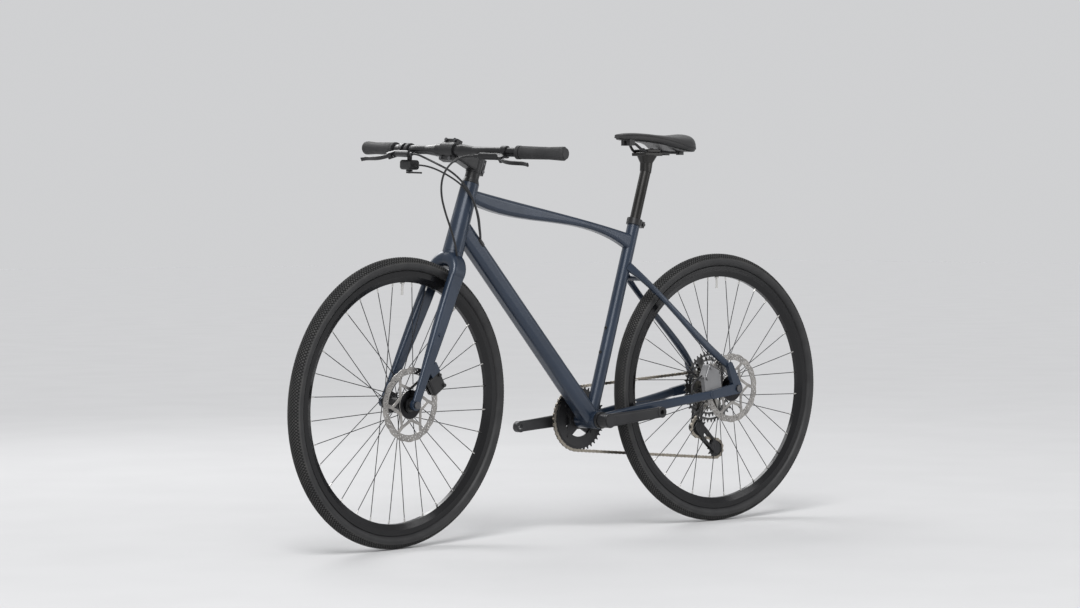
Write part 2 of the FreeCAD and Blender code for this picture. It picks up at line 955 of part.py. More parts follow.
def thru_axle(centre, left_end, right_end, spacing, left_face, right_face):
    """Axle rod with the end caps that the hub turns between, and its head."""
    caps = spacing / 2
    corners = [
        (0, left_face + axle_head_width), (axle_head_radius, left_face + axle_head_width),
        (axle_head_radius, left_face), (axle_radius, left_face), (axle_radius, caps), (end_cap_radius, caps),
        (end_cap_radius, left_end + moving_gap), (axle_radius, left_end + moving_gap),
        (axle_radius, -right_end - moving_gap), (end_cap_radius, -right_end - moving_gap),
        (end_cap_radius, -caps), (axle_radius, -caps), (axle_radius, -right_face), (0, -right_face),
    ]
    return [wheel_turned(corners, centre)]


# Frame tubes


def head_outer():
    return Part.makeCone(head_bottom_radius, head_top_radius, head_tube_length, head_foot, head_up)


def head_tube():
    below = head_foot - head_up * overrun
    above = head_top + head_up * overrun
    seats = [
        rod(below, above, head_bore_radius),
        rod(above, head_top - head_up * head_bearing_height, head_bearing_radius),
        rod(below, head_foot + head_up * head_bearing_height, lower_bearing_radius),
    ]
    return [head_outer().cut(union(seats))]


def headset_bearings():
    rings = []
    for end, way, radius in ((head_top, -1, head_bearing_radius), (head_foot, 1, lower_bearing_radius)):
        inner = steerer_radius + running_gap
        rings.append(pipe_ring(end, end + head_up * (way * head_bearing_height), radius, inner))
    return rings


def seat_outer():
    return rod(bottom_bracket, seat_point(seat_tube_length), seat_tube_radius)


def shell_outer():
    return disc(bottom_bracket, shell_radius, -shell_width / 2, shell_width / 2)


def down_skins():
    """Outside and inside of the down tube."""
    start = head_point(axle_to_crown + down_on_head)
    along = bottom_bracket - start
    stations = [
        (start, along, down_head_width, down_head_depth),
        (start + along / 2, along, down_mid_width, down_mid_depth),
        (bottom_bracket, along, down_foot_width, down_foot_depth),
    ]
    return tube_between(stations, Y_AXIS, tube_wall, tube_corner_share)


def down_line(distance):
    """Point on the down tube's axis by its distance from the head."""
    start = head_point(axle_to_crown + down_on_head)
    return start + unit(bottom_bracket - start) * distance


def down_up():
    """Unit vector square to the down tube, towards the rider."""
    along = unit(bottom_bracket - head_point(axle_to_crown + down_on_head))
    return along.cross(Y_AXIS) * -1


def top_skins():
    """Outside and inside of the top tube, deeper where it meets the seat tube."""
    start = head_point(axle_to_crown + top_on_head)
    end = seat_point(top_on_seat)
    along = end - start
    down = unit(along).cross(Y_AXIS)
    stations = [
        (start, along, top_head_width, top_head_depth),
        (start + along * top_mid_share, along, top_mid_width, top_mid_depth),
        (end - unit(along) * top_neck_place, along, top_neck_width, top_neck_depth),
        (end + down * top_gusset_drop, along, top_gusset_width, top_gusset_depth),
    ]
    return tube_between(stations, Y_AXIS, tube_wall, tube_corner_share)


def surface_reach(shape, start, way):
    """Distance from a point inside a shape to its surface."""
    probe = line(start, start + way * wheel_radius)
    return probe.common(shape).Length


def port_frame():
    """Centre on the surface, outward way and lengthwise way of the cable port."""
    start = down_line(port_place)
    along = unit(bottom_bracket - start)
    turn = math.radians(port_turn)
    outward = Y_AXIS * math.sin(turn) + down_up() * math.cos(turn)
    return start + outward * surface_reach(down_skins()[0], start, outward), outward, along


def port_shape(room):
    """Oblong plug through the down tube's wall, with room round it."""
    centre, outward, along = port_frame()
    half = (port_length - port_width) / 2
    low = centre - outward * port_depth
    high = centre + outward * port_height
    ends = [rod(low + along * shift, high + along * shift, port_width / 2 + room) for shift in (-half, half)]
    sizes = (2 * half, port_width + 2 * room, port_depth + port_height)
    middle = box((low + high) / 2, sizes, (along, outward.cross(along), outward))
    return union(ends + [middle])


def boss_spots():
    """Root and outward way of each bottle boss."""
    spots = []
    seat_way = heading(full_turn / 4 - seat_angle)
    for step in range(2):
        root = seat_point(seat_boss_place + boss_spacing * step)
        spots.append((root + seat_way * seat_tube_radius, seat_way))
        start = down_line(down_boss_place + boss_spacing * step)
        spots.append((start + down_up() * surface_reach(down_skins()[0], start, down_up()), down_up()))
    return spots


def bottle_bosses():
    bosses = []
    for spot, way in boss_spots():
        foot = spot - way * (boss_length - boss_height)
        bosses.append(pipe_ring(foot, spot + way * boss_height, boss_radius, boss_bore_radius))
    return bosses


def boss_cutters():
    return [
        rod(spot - way * boss_length, spot + way * overrun, boss_radius + press_gap)
        for spot, way in boss_spots()
    ]


def down_tube():
    outer, inner = down_skins()
    hollow = outer.cut(inner)
    cutters = [head_outer(), shell_outer(), port_shape(press_gap)] + boss_cutters()
    return [hollow.cut(cutters)]


def top_tube():
    outer, inner = top_skins()
    hollow = outer.cut(inner)
    return [hollow.cut([head_outer(), seat_outer()])]


def seat_tube():
    bore = rod(bottom_bracket, seat_point(seat_tube_length + overrun), post_radius + running_gap)
    cutters = [bore, shell_outer(), down_skins()[0]] + boss_cutters()
    return [seat_outer().cut(cutters)]


def bottom_bracket_shell():
    ends = shell_width / 2 + overrun
    return [shell_outer().cut(disc(bottom_bracket, shell_bore_radius, -ends, ends))]


def cable_port_cover():
    """Grommet with a hole for each line."""
    holes = []
    for route, radius in ((rear_hose_route, hose_radius), (gear_cable_route, cable_radius)):
        holes.append(cord([V(*spot) for spot in route], radius + press_gap))
    return [port_shape(0).cut(holes)]


def bottom_bracket_cups():
    cup = wheel_turned([
        (spindle_radius + running_gap, shell_width / 2 - cup_sleeve),
        (shell_bore_radius - press_gap, shell_width / 2 - cup_sleeve),
        (shell_bore_radius - press_gap, shell_width / 2), (cup_radius, shell_width / 2),
        (cup_radius, shell_width / 2 + cup_width),
        (spindle_radius + running_gap, shell_width / 2 + cup_width),
    ], bottom_bracket)
    return both_sides(cup)


def stay_way():
    return unit(rear_axle - bottom_bracket)


def stay_point(reach, place):
    return bottom_bracket + stay_way() * reach + Y_AXIS * place


def seatstay_point(reach, place):
    start = seat_point(seatstay_join)
    foot = rear_axle + Z_AXIS * seatstay_rise
    return start + unit(foot - start) * reach + Y_AXIS * place


def stay_skins(spots, sizes):
    """Outside and inside of a stay whose sections face along its line of centres."""
    stations = []
    for number, (spot, (width, depth)) in enumerate(zip(spots, sizes)):
        before = spots[max(number - 1, 0)]
        after = spots[min(number + 1, len(spots) - 1)]
        stations.append((spot, after - before, width, depth))
    return tube_between(stations, Y_AXIS, stay_wall, blade_corner_share)


dropout_middle = dropout_inner + dropout_thickness / 2


def chainstay_skins():
    spots = [
        stay_point(0, chainstay_start_place), stay_point(chainstay_neck_reach, chainstay_neck_place),
        stay_point(chainstay_mid_reach, chainstay_mid_place), stay_point(chainstay_end_reach, dropout_middle),
    ]
    sizes = (
        (chainstay_start_width, chainstay_start_height), (chainstay_neck_width, chainstay_neck_height),
        (chainstay_mid_width, chainstay_mid_height), (chainstay_end_width, chainstay_end_height),
    )
    return stay_skins(spots, sizes)


def chainstays():
    outer, inner = chainstay_skins()
    clear_shell = disc(bottom_bracket, shell_radius, -dropout_inner, dropout_inner)
    left = outer.cut(inner).cut([clear_shell, seat_outer(), down_skins()[0]])
    hose = cord(route(hose_tail_route), hose_radius + press_gap)
    cable = cord(route(cable_tail_route), cable_radius + press_gap)
    return [left.cut(hose), mirrored(left).cut(cable)]


def seatstay_skins():
    spots = [
        seatstay_point(0, seatstay_start_place),
        seatstay_point(seatstay_neck_reach, seatstay_neck_place),
        seatstay_point(seatstay_mid_reach, seatstay_mid_place),
        seatstay_point(seatstay_end_reach, dropout_middle),
    ]
    sizes = ((seatstay_width, seatstay_start_depth),) + ((seatstay_width, seatstay_depth),) * 3
    return stay_skins(spots, sizes)


def seatstays():
    """Two stays and the bridge between them."""
    outer, inner = seatstay_skins()
    left = outer.cut(inner).cut(seat_outer())
    middle = seatstay_point(bridge_reach, 0)
    bar = rod(middle - Y_AXIS * dropout_inner, middle + Y_AXIS * dropout_inner, bridge_radius)
    bridge = bar.cut(both_sides(outer))
    inside = min(bridge.Solids, key=lambda piece: abs(piece.CenterOfMass.y))
    return both_sides(left) + [inside]


def dropout_body():
    """Left rear end: an eye with an arm to each stay."""
    low = dropout_inner
    high = dropout_inner + dropout_thickness
    chain_end = stay_point(chainstay_end_reach, 0)
    seat_end = seatstay_point(seatstay_end_reach - dropout_eye_radius, 0)
    chain_arm = capsule(rear_axle, chain_end, dropout_eye_radius, chainstay_end_height / 2, low, high)
    seat_arm = capsule(rear_axle, seat_end, dropout_eye_radius, dropout_arm_radius, low, high)
    boss = disc(rear_axle, end_cap_radius, rear_hub_spacing / 2, dropout_inner)
    return union([chain_arm, seat_arm, boss])


def hanger():
    """Plate on the right dropout that carries the derailleur."""
    high = -rear_hub_spacing / 2
    low = high - hanger_thickness
    end = rear_axle + V(-hanger_back, 0, -hanger_drop)
    body = capsule(rear_axle, end, end_cap_radius, hanger_end_radius, low, high)
    cutters = [disc(rear_axle, axle_radius + seat_gap, low - overrun, high + overrun)]
    cutters.append(disc(end, hanger_bolt_radius + press_gap, low - overrun, high + overrun))
    return body.cut(cutters)


def dropouts():
    stays = [chainstay_skins()[0], seatstay_skins()[0]]
    far = dropout_inner + dropout_thickness + overrun
    bore = disc(rear_axle, axle_radius + seat_gap, -far, far)
    left = dropout_body().cut(stays + [bore])
    right = mirrored(left).cut(hanger())
    return [left, right, hanger()]


def seat_clamp():
    """Split collar at the top of the seat tube, and its bolt."""
    low = seat_point(seat_tube_length - collar_height)
    high = seat_point(seat_tube_length)
    middle = (low + high) / 2
    back = heading(full_turn * 3 / 4 - seat_angle)
    outer = seat_tube_radius + collar_wall
    ear_middle = middle + back * (outer + collar_ear_length / 2 - collar_wall)
    axes = (back, Y_AXIS, seat_up)
    ears = box(ear_middle, (collar_ear_length + collar_wall, collar_ear_width, collar_height), axes)
    slot_middle = middle + back * outer
    slot = box(slot_middle, (2 * collar_ear_length, collar_slot, collar_height + 2 * overrun), axes)
    axis_spot = middle + back * (outer + collar_ear_length / 2)
    half = Y_AXIS * (collar_ear_width / 2)
    past = half + Y_AXIS * overrun
    hole = rod(axis_spot - past, axis_spot + past, collar_bolt_radius)
    bore = rod(low - seat_up * overrun, high + seat_up * overrun, seat_tube_radius + press_gap)
    body = union([rod(low, high, outer), ears]).cut([bore, slot, hole])
    shank = rod(axis_spot - half, axis_spot + half, collar_bolt_radius)
    head_foot_spot = axis_spot + half
    head = rod(head_foot_spot, head_foot_spot + Y_AXIS * collar_bolt_radius, collar_bolt_head_radius)
    return [body, union([shank, head])]


# Fork


def fork_forward(height):
    """How far the blades stand ahead of the steering axis at a height."""
    return fork_offset * (1 - height / axle_to_crown)


def fork_half():
    """Lofts of the left half of the crown and of the left blade, sharing a section."""
    crown_middle = axle_to_crown - crown_gap - crown_height / 2
    rows = [
        (0, crown_middle, 0, crown_height, crown_chord),
        (crown_side_place, crown_middle - crown_side_drop, crown_side_lean, crown_height, crown_chord),
        (shoulder_place, crown_middle - shoulder_drop, shoulder_lean, shoulder_thickness, shoulder_chord),
        (blade_top_place, crown_middle - blade_top_drop, blade_lean, blade_top_thickness, blade_top_chord),
        (blade_upper_place, blade_upper_height, blade_lean, blade_upper_thickness, blade_upper_chord),
        (blade_mid_place, blade_mid_height, blade_lean, blade_mid_thickness, blade_mid_chord),
        (blade_low_place, blade_low_height, blade_lean, blade_low_thickness, blade_low_chord),
        (blade_tip_place, blade_tip_height, blade_lean, blade_tip_thickness, blade_tip_chord),
    ]
    wires = []
    for place, height, lean, thickness, chord in rows:
        turn = math.radians(lean)
        side = head_up * math.cos(turn) + Y_AXIS * math.sin(turn)
        centre = head_point(height, fork_forward(height), place)
        wires.append(rounded_wire(centre, head_forward, side, chord, thickness, blade_corner_share))
    return [loft(wires[:4]), loft(wires[3:])]


def fork_boss_root():
    return head_point(fork_boss_height, fork_forward(fork_boss_height), blade_mid_place)


def fork():
    """Steerer, crown, blades and ends as one welded piece, and the screws in its two bosses."""
    inner = front_hub_spacing / 2
    end = disc(front_axle, fork_end_radius, inner, inner + fork_end_thickness)
    root = fork_boss_root()
    boss = rod(root, root + Y_AXIS * fork_boss_reach, boss_radius)
    crown_top = axle_to_crown - moving_gap
    neck = rod(head_point(crown_top - crown_boss_height), head_point(crown_top), head_bottom_radius)
    steerer_end = bar_height - stem_rise + stem_height / 2 - top_cap_height / 2
    steerer = rod(head_point(crown_top - crown_boss_height), head_point(steerer_end), steerer_radius)
    left = union(fork_half() + [end, boss])
    body = union([left, mirrored(left), caliper_post(), neck, steerer])
    seat = root + Y_AXIS * fork_boss_reach
    screw = rod(seat, seat + Y_AXIS * fork_screw_height, fork_screw_radius)
    far = inner + fork_end_thickness + overrun
    axle_bore = disc(front_axle, axle_radius + seat_gap, -far, far)
    entry = cord([V(*spot) for spot in front_hose_route], hose_radius + press_gap)
    return [body.cut([axle_bore, entry])] + both_sides(screw)


# Cockpit


def stack_level():
    """Height along the steering axis where the stem's clamp starts."""
    return axle_to_crown + head_tube_length + cover_height + spacer_height


def headset_spacers():
    """Tapered cover and a spacer under the stem."""
    base = axle_to_crown + head_tube_length
    bore = steerer_radius + press_gap
    cover = turned([
        (bore, base + moving_gap), (head_top_radius, base + moving_gap),
        (spacer_radius, base + cover_height), (bore, base + cover_height),
    ], steer_foot, head_up, Y_AXIS)
    spacer = pipe_ring(head_point(base + cover_height), head_point(stack_level()), spacer_radius, bore)
    return [cover, spacer]


def bar_way():
    """Direction from the steering axis to the bar."""
    return unit(bar_centre - head_point(bar_height - stem_rise))


def clamp_solid():
    radius = bar_clamp_radius + stem_clamp_wall
    half = Y_AXIS * (stem_clamp_width / 2)
    return rod(bar_centre - half, bar_centre + half, radius)


def clamp_ears(forward, back):
    """Blocks above and below the bar that the faceplate bolts pass through."""
    way = bar_way()
    up = way.cross(Y_AXIS)
    ears = []
    for side in (1, -1):
        level = side * (bar_clamp_radius + stem_clamp_wall)
        centre = bar_centre + up * level + way * ((forward - back) / 2)
        sizes = (forward + back, stem_clamp_width, faceplate_ear_height)
        ears.append(box(centre, sizes, (way, Y_AXIS, up)))
    return ears


def faceplate_bolt_spots():
    way = bar_way()
    up = way.cross(Y_AXIS)
    level = bar_clamp_radius + stem_clamp_wall + faceplate_ear_height / 4
    for high in (1, -1):
        for side in (1, -1):
            yield bar_centre + up * (high * level) + Y_AXIS * (side * faceplate_bolt_spacing / 2)


def faceplate_bolt_holes():
    way = bar_way() * (faceplate_ear_depth + overrun)
    return [rod(spot - way, spot + way, faceplate_bolt_radius) for spot in faceplate_bolt_spots()]


def front_half(back):
    """Cutter for everything behind, or ahead of, the split of the bar clamp."""
    size = 4 * stem_clamp_width
    way = bar_way()
    side = -1 if back else 1
    centre = bar_centre + way * (side * (size / 2 - stem_split_gap / 2))
    return box(centre, (size, size, size), (way, Y_AXIS, way.cross(Y_AXIS)))


def bar_bore():
    half = Y_AXIS * stem_clamp_width
    return rod(bar_centre - half, bar_centre + half, bar_clamp_radius + press_gap)


def stem_rear_spots():
    low = head_point(stack_level())
    behind = steerer_radius + stem_wall + stem_rear_ear / 2
    for share in stem_bolt_shares:
        yield low + head_up * (stem_height * share) - head_forward * behind


def stem():
    low = head_point(stack_level())
    high = head_point(stack_level() + stem_height)
    outer = steerer_radius + stem_wall
    way = bar_way()
    up = way.cross(Y_AXIS) * -1
    root = head_point(stack_level() + stem_height / 2)
    nose = bar_centre - way * bar_clamp_radius
    body = loft([
        rounded_wire(root, Y_AXIS, up, stem_root_width, stem_root_height, tube_corner_share / 2),
        rounded_wire(nose, Y_AXIS, up, stem_nose_width, stem_nose_height, tube_corner_share / 2),
    ], True)
    clamp = union([clamp_solid()] + clamp_ears(0, faceplate_ear_depth)).cut(front_half(False))
    ear_centre = (low + high) / 2 - head_forward * outer
    ear_sizes = (2 * stem_rear_ear, stem_bolt_length, stem_height)
    rear = box(ear_centre, ear_sizes, (head_forward, Y_AXIS, head_up))
    slot_sizes = (2 * stem_rear_ear + 2 * stem_wall, stem_rear_slot, stem_height + 2 * overrun)
    slot = box(ear_centre, slot_sizes, (head_forward, Y_AXIS, head_up))
    half = Y_AXIS * stem_bolt_length
    holes = [rod(spot - half, spot + half, faceplate_bolt_radius) for spot in stem_rear_spots()]
    bore = rod(low - head_up * overrun, high + head_up * overrun, steerer_radius + press_gap)
    shape = union([rod(low, high, outer), body, clamp, rear])
    return [shape.cut([bore, bar_bore(), slot] + holes + faceplate_bolt_holes())]


def stem_faceplate():
    shape = union([clamp_solid()] + clamp_ears(faceplate_ear_depth, 0)).cut(front_half(True))
    return [shape.cut([bar_bore()] + faceplate_bolt_holes())]


def stem_hardware():
    """Four faceplate bolts, two pinch bolts, and the top cap with its bolt."""
    made = []
    way = bar_way()
    for spot in faceplate_bolt_spots():
        front = spot + way * faceplate_ear_depth
        shank = rod(spot - way * faceplate_ear_depth, front, faceplate_bolt_radius - press_gap)
        head = rod(front, front + way * faceplate_bolt_head, faceplate_bolt_head)
        made.append(union([shank, head]))
    for number, spot in enumerate(stem_rear_spots()):
        side = 1 if number == 0 else -1
        end = spot + Y_AXIS * (side * stem_bolt_length / 2)
        shank = rod(spot - Y_AXIS * (side * stem_bolt_length / 2), end, faceplate_bolt_radius - press_gap)
        head = rod(end, end + Y_AXIS * (side * faceplate_bolt_radius), faceplate_bolt_head)
        made.append(union([shank, head]))
    top = head_point(stack_level() + stem_height)
    cap = rod(top, top + head_up * top_cap_height, top_cap_radius)
    rim_edge = max(cap.Edges, key=lambda edge: edge.CenterOfMass.dot(head_up))
    cap = cap.makeFillet(top_cap_height / 2, [rim_edge])
    seat = top + head_up * top_cap_height
    made.append(cap)
    made.append(rod(seat, seat + head_up * top_cap_bolt_height, top_cap_bolt_radius))
    return made


def bar_out():
    """Direction of the left half of the bar outside its bend."""
    return unit(Y_AXIS * math.cos(math.radians(bar_sweep)) - X_AXIS * math.sin(math.radians(bar_sweep)))


def bar_forward():
    return unit(X_AXIS * math.cos(math.radians(bar_sweep)) + Y_AXIS * math.sin(math.radians(bar_sweep)))


bar_bend = bar_centre + Y_AXIS * bar_bend_place
bar_end = bar_bend + bar_out() * ((bar_half_width - bar_bend_place) / math.cos(math.radians(bar_sweep)))


def bar_spot(distance):
    """Point on the left half of the bar by its distance from the end."""
    return bar_end - bar_out() * distance


def handlebar():
    def skin(inset):
        clamp_end = bar_centre + Y_AXIS * bar_clamp_half
        taper_end = bar_centre + Y_AXIS * bar_taper_end
        taper = Part.makeCone(
            bar_clamp_radius - inset, bar_radius - inset, bar_taper_end - bar_clamp_half, clamp_end, Y_AXIS
        )
        far = bar_end + bar_out() * (overrun if inset else 0)
        arm = cord([taper_end, bar_bend, far], bar_radius - inset)
        middle = rod(bar_centre - Y_AXIS * bar_clamp_half, clamp_end, bar_clamp_radius - inset)
        half = union([taper, arm])
        return union([middle, half, mirrored(half)])
    return [skin(0).cut(skin(bar_wall))]


def grip():
    """Left rubber sleeve, its clamp ring and the plug in the bar's end."""
    inner_end = grip_length - grip_ring_width
    bore = bar_radius + press_gap
    sleeve = turned([
        (bore, 0), (grip_outer_radius - grip_round, 0), (grip_outer_radius, grip_round),
        (grip_outer_radius, 3 * grip_round), (grip_waist_radius, grip_length / 3),
        (grip_inner_radius, inner_end - grip_round), (grip_inner_radius - grip_round / 3, inner_end),
        (bore, inner_end),
    ], bar_end, bar_out() * -1, Z_AXIS)
    ring = pipe_ring(bar_spot(inner_end), bar_spot(grip_length), grip_ring_radius, bore)
    outside = bar_end + bar_out() * plug_width
    stem_end = bar_end - bar_out() * plug_stem_length
    plug_stem = rod(stem_end, bar_end, bar_radius - bar_wall - press_gap)
    plug = union([rod(bar_end, outside, plug_radius), plug_stem])
    return [sleeve, ring, plug]


def lever_axes():
    """Outward, ahead-and-down, and square-to-both directions of the left brake lever."""
    tilt = math.radians(lever_tilt)
    ahead = bar_forward() * math.cos(tilt) - Z_AXIS * math.sin(tilt)
    return bar_out(), unit(ahead), unit(bar_out().cross(ahead))


def lever_spot(outer, reach):
    out, ahead, _ = lever_axes()
    return bar_spot(grip_length + perch_place) + out * outer + ahead * reach


def perch():
    """Left clamp, master cylinder and pivot pin."""
    out, ahead, square = lever_axes()
    centre = lever_spot(0, 0)
    half = out * (perch_ring_width / 2)
    outer = bar_radius + perch_ring_wall
    ring = rod(centre - half, centre + half, outer)
    bevel = perch_radius / 4
    barrel = turned([
        (0, -perch_inner), (perch_radius - bevel, -perch_inner), (perch_radius, bevel - perch_inner),
        (perch_radius, perch_outer - bevel), (perch_radius - bevel, perch_outer), (0, perch_outer),
    ], lever_spot(0, perch_reach), out, square)
    neck = rod(centre, lever_spot(0, perch_reach), perch_neck_radius)
    nut_root = lever_spot(-perch_inner, perch_reach)
    nut = rod(nut_root - out * hose_nut_length, nut_root, hose_nut_radius)
    pivot = lever_spot(pivot_outer, pivot_reach)
    root = lever_spot(0, perch_reach)
    lugs = []
    for side in (1, -1):
        inside = square * (side * (lever_eye_height / 2 + moving_gap))
        outside = inside + square * (side * lug_thickness)
        across = unit(pivot - root).cross(square)
        lugs.append(rod(pivot + inside, pivot + outside, lug_radius))
        middle = (root + pivot) / 2 + (inside + outside) / 2
        sizes = ((pivot - root).Length, lug_width, lug_thickness)
        lugs.append(box(middle, sizes, (unit(pivot - root), across, square)))
    far = square * (lever_eye_height / 2 + moving_gap + lug_thickness)
    pin = rod(pivot - far, pivot + far, pivot_radius)
    bore = rod(centre - out * perch_ring_width, centre + out * perch_ring_width, bar_radius + press_gap)
    return union([ring, barrel, neck, nut, pin] + lugs).cut(bore)


def brake_perches():
    return both_sides(perch())


def brake_lever():
    """Left lever blade with its pivot eye."""
    out, ahead, square = lever_axes()
    pivot = lever_spot(pivot_outer, pivot_reach)
    spots = [
        pivot, lever_spot(lever_knee_outer, lever_knee_reach), lever_spot(lever_mid_outer, lever_mid_reach),
        lever_spot(lever_end_outer, lever_end_reach), lever_spot(lever_tip_outer, lever_tip_reach),
    ]
    widths = [lever_root_width] + [lever_blade_width] * 4
    wires = []
    for number, (spot, width) in enumerate(zip(spots, widths)):
        along = unit(spots[min(number + 1, 4)] - spots[max(number - 1, 0)])
        height = lever_eye_height if number == 0 else lever_blade_height
        wires.append(rounded_wire(spot, square, along.cross(square), height, width, blade_corner_share))
    half = square * (lever_eye_height / 2)
    eye = rod(pivot - half, pivot + half, lever_eye_radius)
    bore = rod(pivot - half * 2, pivot + half * 2, pivot_radius + running_gap)
    return union([loft(wires), eye]).cut(bore)


def shifter_axes():
    """Left-hand directions along the bar, ahead and up, mirrored later to the right."""
    return bar_out(), bar_forward(), Z_AXIS


def pod_centre():
    out, ahead, up = shifter_axes()
    return bar_spot(grip_length + shifter_place) + ahead * pod_forward - up * pod_drop


def paddle_level(number):
    """Top of a paddle, counted down from the pod's underside."""
    return pod_centre() - Z_AXIS * (pod_height / 2 + moving_gap + number * (paddle_thickness + moving_gap))


def shifter_body():
    out, ahead, up = shifter_axes()
    clamp = bar_spot(grip_length + shifter_place)
    half = out * (shifter_ring_width / 2)
    ring = rod(clamp - half, clamp + half, bar_radius + perch_ring_wall)
    neck = rod(clamp, pod_centre(), perch_neck_radius)
    pod = rounded_box(pod_centre(), (pod_length, pod_depth, pod_height), (out, ahead, up), pod_round)
    pin = rod(pod_centre(), paddle_level(2), paddle_pin_radius)
    bore = rod(clamp - half * 3, clamp + half * 3, bar_radius + press_gap)
    inner = pod_centre() - out * (pod_length / 2)
    nut = rod(inner, inner - out * hose_nut_length, hose_nut_radius)
    return [mirrored(union([ring, neck, pod, pin, nut]).cut(bore))]


def paddle(number, length, angle):
    """Shift lever that turns on the pin under the pod."""
    out, ahead, up = shifter_axes()
    top = paddle_level(number)
    turn = math.radians(angle)
    way = out * math.cos(turn) + ahead * math.sin(turn)
    side = up.cross(way)
    tip = top + way * length
    low = up * paddle_thickness
    eye = rod(top - low, top, paddle_eye_radius)
    end = rod(tip - low, tip, paddle_tip_radius)
    sizes = (length, 2 * paddle_tip_radius, paddle_thickness)
    middle = box((top + tip) / 2 - low / 2, sizes, (way, side, up))
    bore = rod(top - low * 2, top + low, paddle_pin_radius + running_gap)
    return [mirrored(union([eye, end, middle]).cut(bore))]


# Brake calipers


def caliper_axes(angle):
    return heading(angle), Y_AXIS, heading(angle + full_turn / 4)


def caliper(centre, place, angle):
    """Body round the disc's edge, with room for the pads."""
    axes = caliper_axes(angle)
    radial = axes[0]
    level = (caliper_low + caliper_high) / 2
    middle = V(centre.x, 0, centre.z) + radial * level
    width = caliper_inner + caliper_outer
    sizes = (caliper_high - caliper_low, width, 2 * caliper_half_length)
    across = place + (caliper_outer - caliper_inner) / 2
    body = rounded_box(middle + Y_AXIS * across, sizes, axes, caliper_round)
    slot_low = caliper_low - overrun
    slot_middle = V(centre.x, place, centre.z) + radial * ((caliper_slot_high + slot_low) / 2)
    slot_sizes = (caliper_slot_high - slot_low, caliper_slot, 2 * caliper_half_length + 2 * overrun)
    return body.cut(box(slot_middle, slot_sizes, axes))


def caliper_bolts(centre, place, angle):
    """Two body bolts on the caliper's outer side."""
    radial, _, tangent = caliper_axes(angle)
    bolts = []
    for side in (1, -1):
        spot = V(centre.x, place + caliper_outer, centre.z) + radial * caliper_bolt_level
        spot = spot + tangent * (side * caliper_bolt_spread)
        bolts.append(rod(spot, spot + Y_AXIS * caliper_bolt_length, caliper_bolt_head))
    return bolts


def pad(centre, place, angle, side):
    """Brake pad beside the disc; side is 1 for the outer one."""
    axes = caliper_axes(angle)
    middle = V(centre.x, place, centre.z) + axes[0] * ((pad_low + pad_high) / 2)
    middle = middle + Y_AXIS * (side * (rotor_thickness / 2 + pad_gap + pad_thickness / 2))
    return [box(middle, (pad_high - pad_low, pad_thickness, 2 * pad_half_length), axes)]


def front_brake_caliper():
    """Caliper behind the left blade."""
    body = caliper(front_axle, front_rotor_place, front_caliper_angle)
    return [body] + caliper_bolts(front_axle, front_rotor_place, front_caliper_angle)


def caliper_post():
    """Flat pad on the left blade that the front caliper stands against."""
    radial, _, tangent = caliper_axes(front_caliper_angle)
    face = V(front_axle.x, blade_low_place, front_axle.z) - tangent * caliper_half_length
    centre = face + radial * caliper_post_level - tangent * (caliper_post_length / 2)
    sizes = (caliper_post_height, blade_low_thickness - 2 * seat_gap, caliper_post_length)
    return box(centre, sizes, (radial, Y_AXIS, tangent))


def rear_brake_caliper():
    """Caliper on top of the left chainstay, with its foot."""
    body = caliper(rear_axle, rear_rotor_place, rear_caliper_angle)
    stay = chainstay_skins()[0]
    radial = caliper_axes(rear_caliper_angle)[0]
    along = stay_way()
    up = along.cross(Y_AXIS)
    root = V(rear_axle.x, rear_rotor_place + caliper_outer - foot_width / 2, rear_axle.z)
    root = root + radial * ((caliper_low + caliper_high) / 2)
    foot_sizes = (2 * foot_half_length, foot_width, 2 * foot_half_height)
    foot = box(root - Z_AXIS * foot_half_height, foot_sizes, (along, Y_AXIS, up))
    hose = cord(route(hose_tail_route), hose_radius + press_gap)
    shape = union([body, foot]).cut([stay, dropout_body(), hose])
    main = max(shape.Solids, key=lambda piece: piece.Volume)
    return [main] + caliper_bolts(rear_axle, rear_rotor_place, rear_caliper_angle)


# Chain drive


def pitch_radius(teeth):
    return chain_pitch / 2 / math.sin(math.pi / teeth)


def sprocket_wire(centre, teeth, phase):
    """Toothed outline with a round seat for each roller."""
    flat = V(centre.x, 0, centre.z)
    pitch = pitch_radius(teeth)
    seat = roller_radius + seat_clearance
    swing = math.radians(tooth_seat_angle)
    seats = []
    tips = []
    for number in range(teeth):
        angle = phase + full_turn * number / teeth
        outward = heading(angle)
        along = heading(angle + full_turn / 4)
        pin = flat + outward * pitch
        spots = []
        for turn in (-swing, 0, swing):
            spots.append(pin + along * (math.sin(turn) * seat) - outward * (math.cos(turn) * seat))
        seats.append(spots)
        middle = angle + full_turn / 2 / teeth
        tip = flat + heading(middle) * (pitch + tooth_height)
        aside = heading(middle + full_turn / 4) * (tooth_tip_width / 2)
        tips.append((tip - aside, tip + aside))
    edges = []
    for spots, (near, far), following in zip(seats, tips, seats[1:] + seats[:1]):
        edges += [arc(*spots), line(spots[-1], near), line(near, far), line(far, following[0])]
    return Part.Wire(edges)


def drive_circles(swing):
    """Centre, radius and turning way of each wheel the chain passes, with the cage at an angle."""
    guide = rear_axle + V(guide_forward, 0, -guide_drop)
    tension = guide + heading(swing) * cage_length
    rows = (
        (rear_axle, drive_cog_teeth, -1), (bottom_bracket, ring_teeth, -1),
        (tension, pulley_teeth, -1), (guide, pulley_teeth, 1),
    )
    return [(complex(spot.x, spot.z), pitch_radius(teeth), way) for spot, teeth, way in rows]


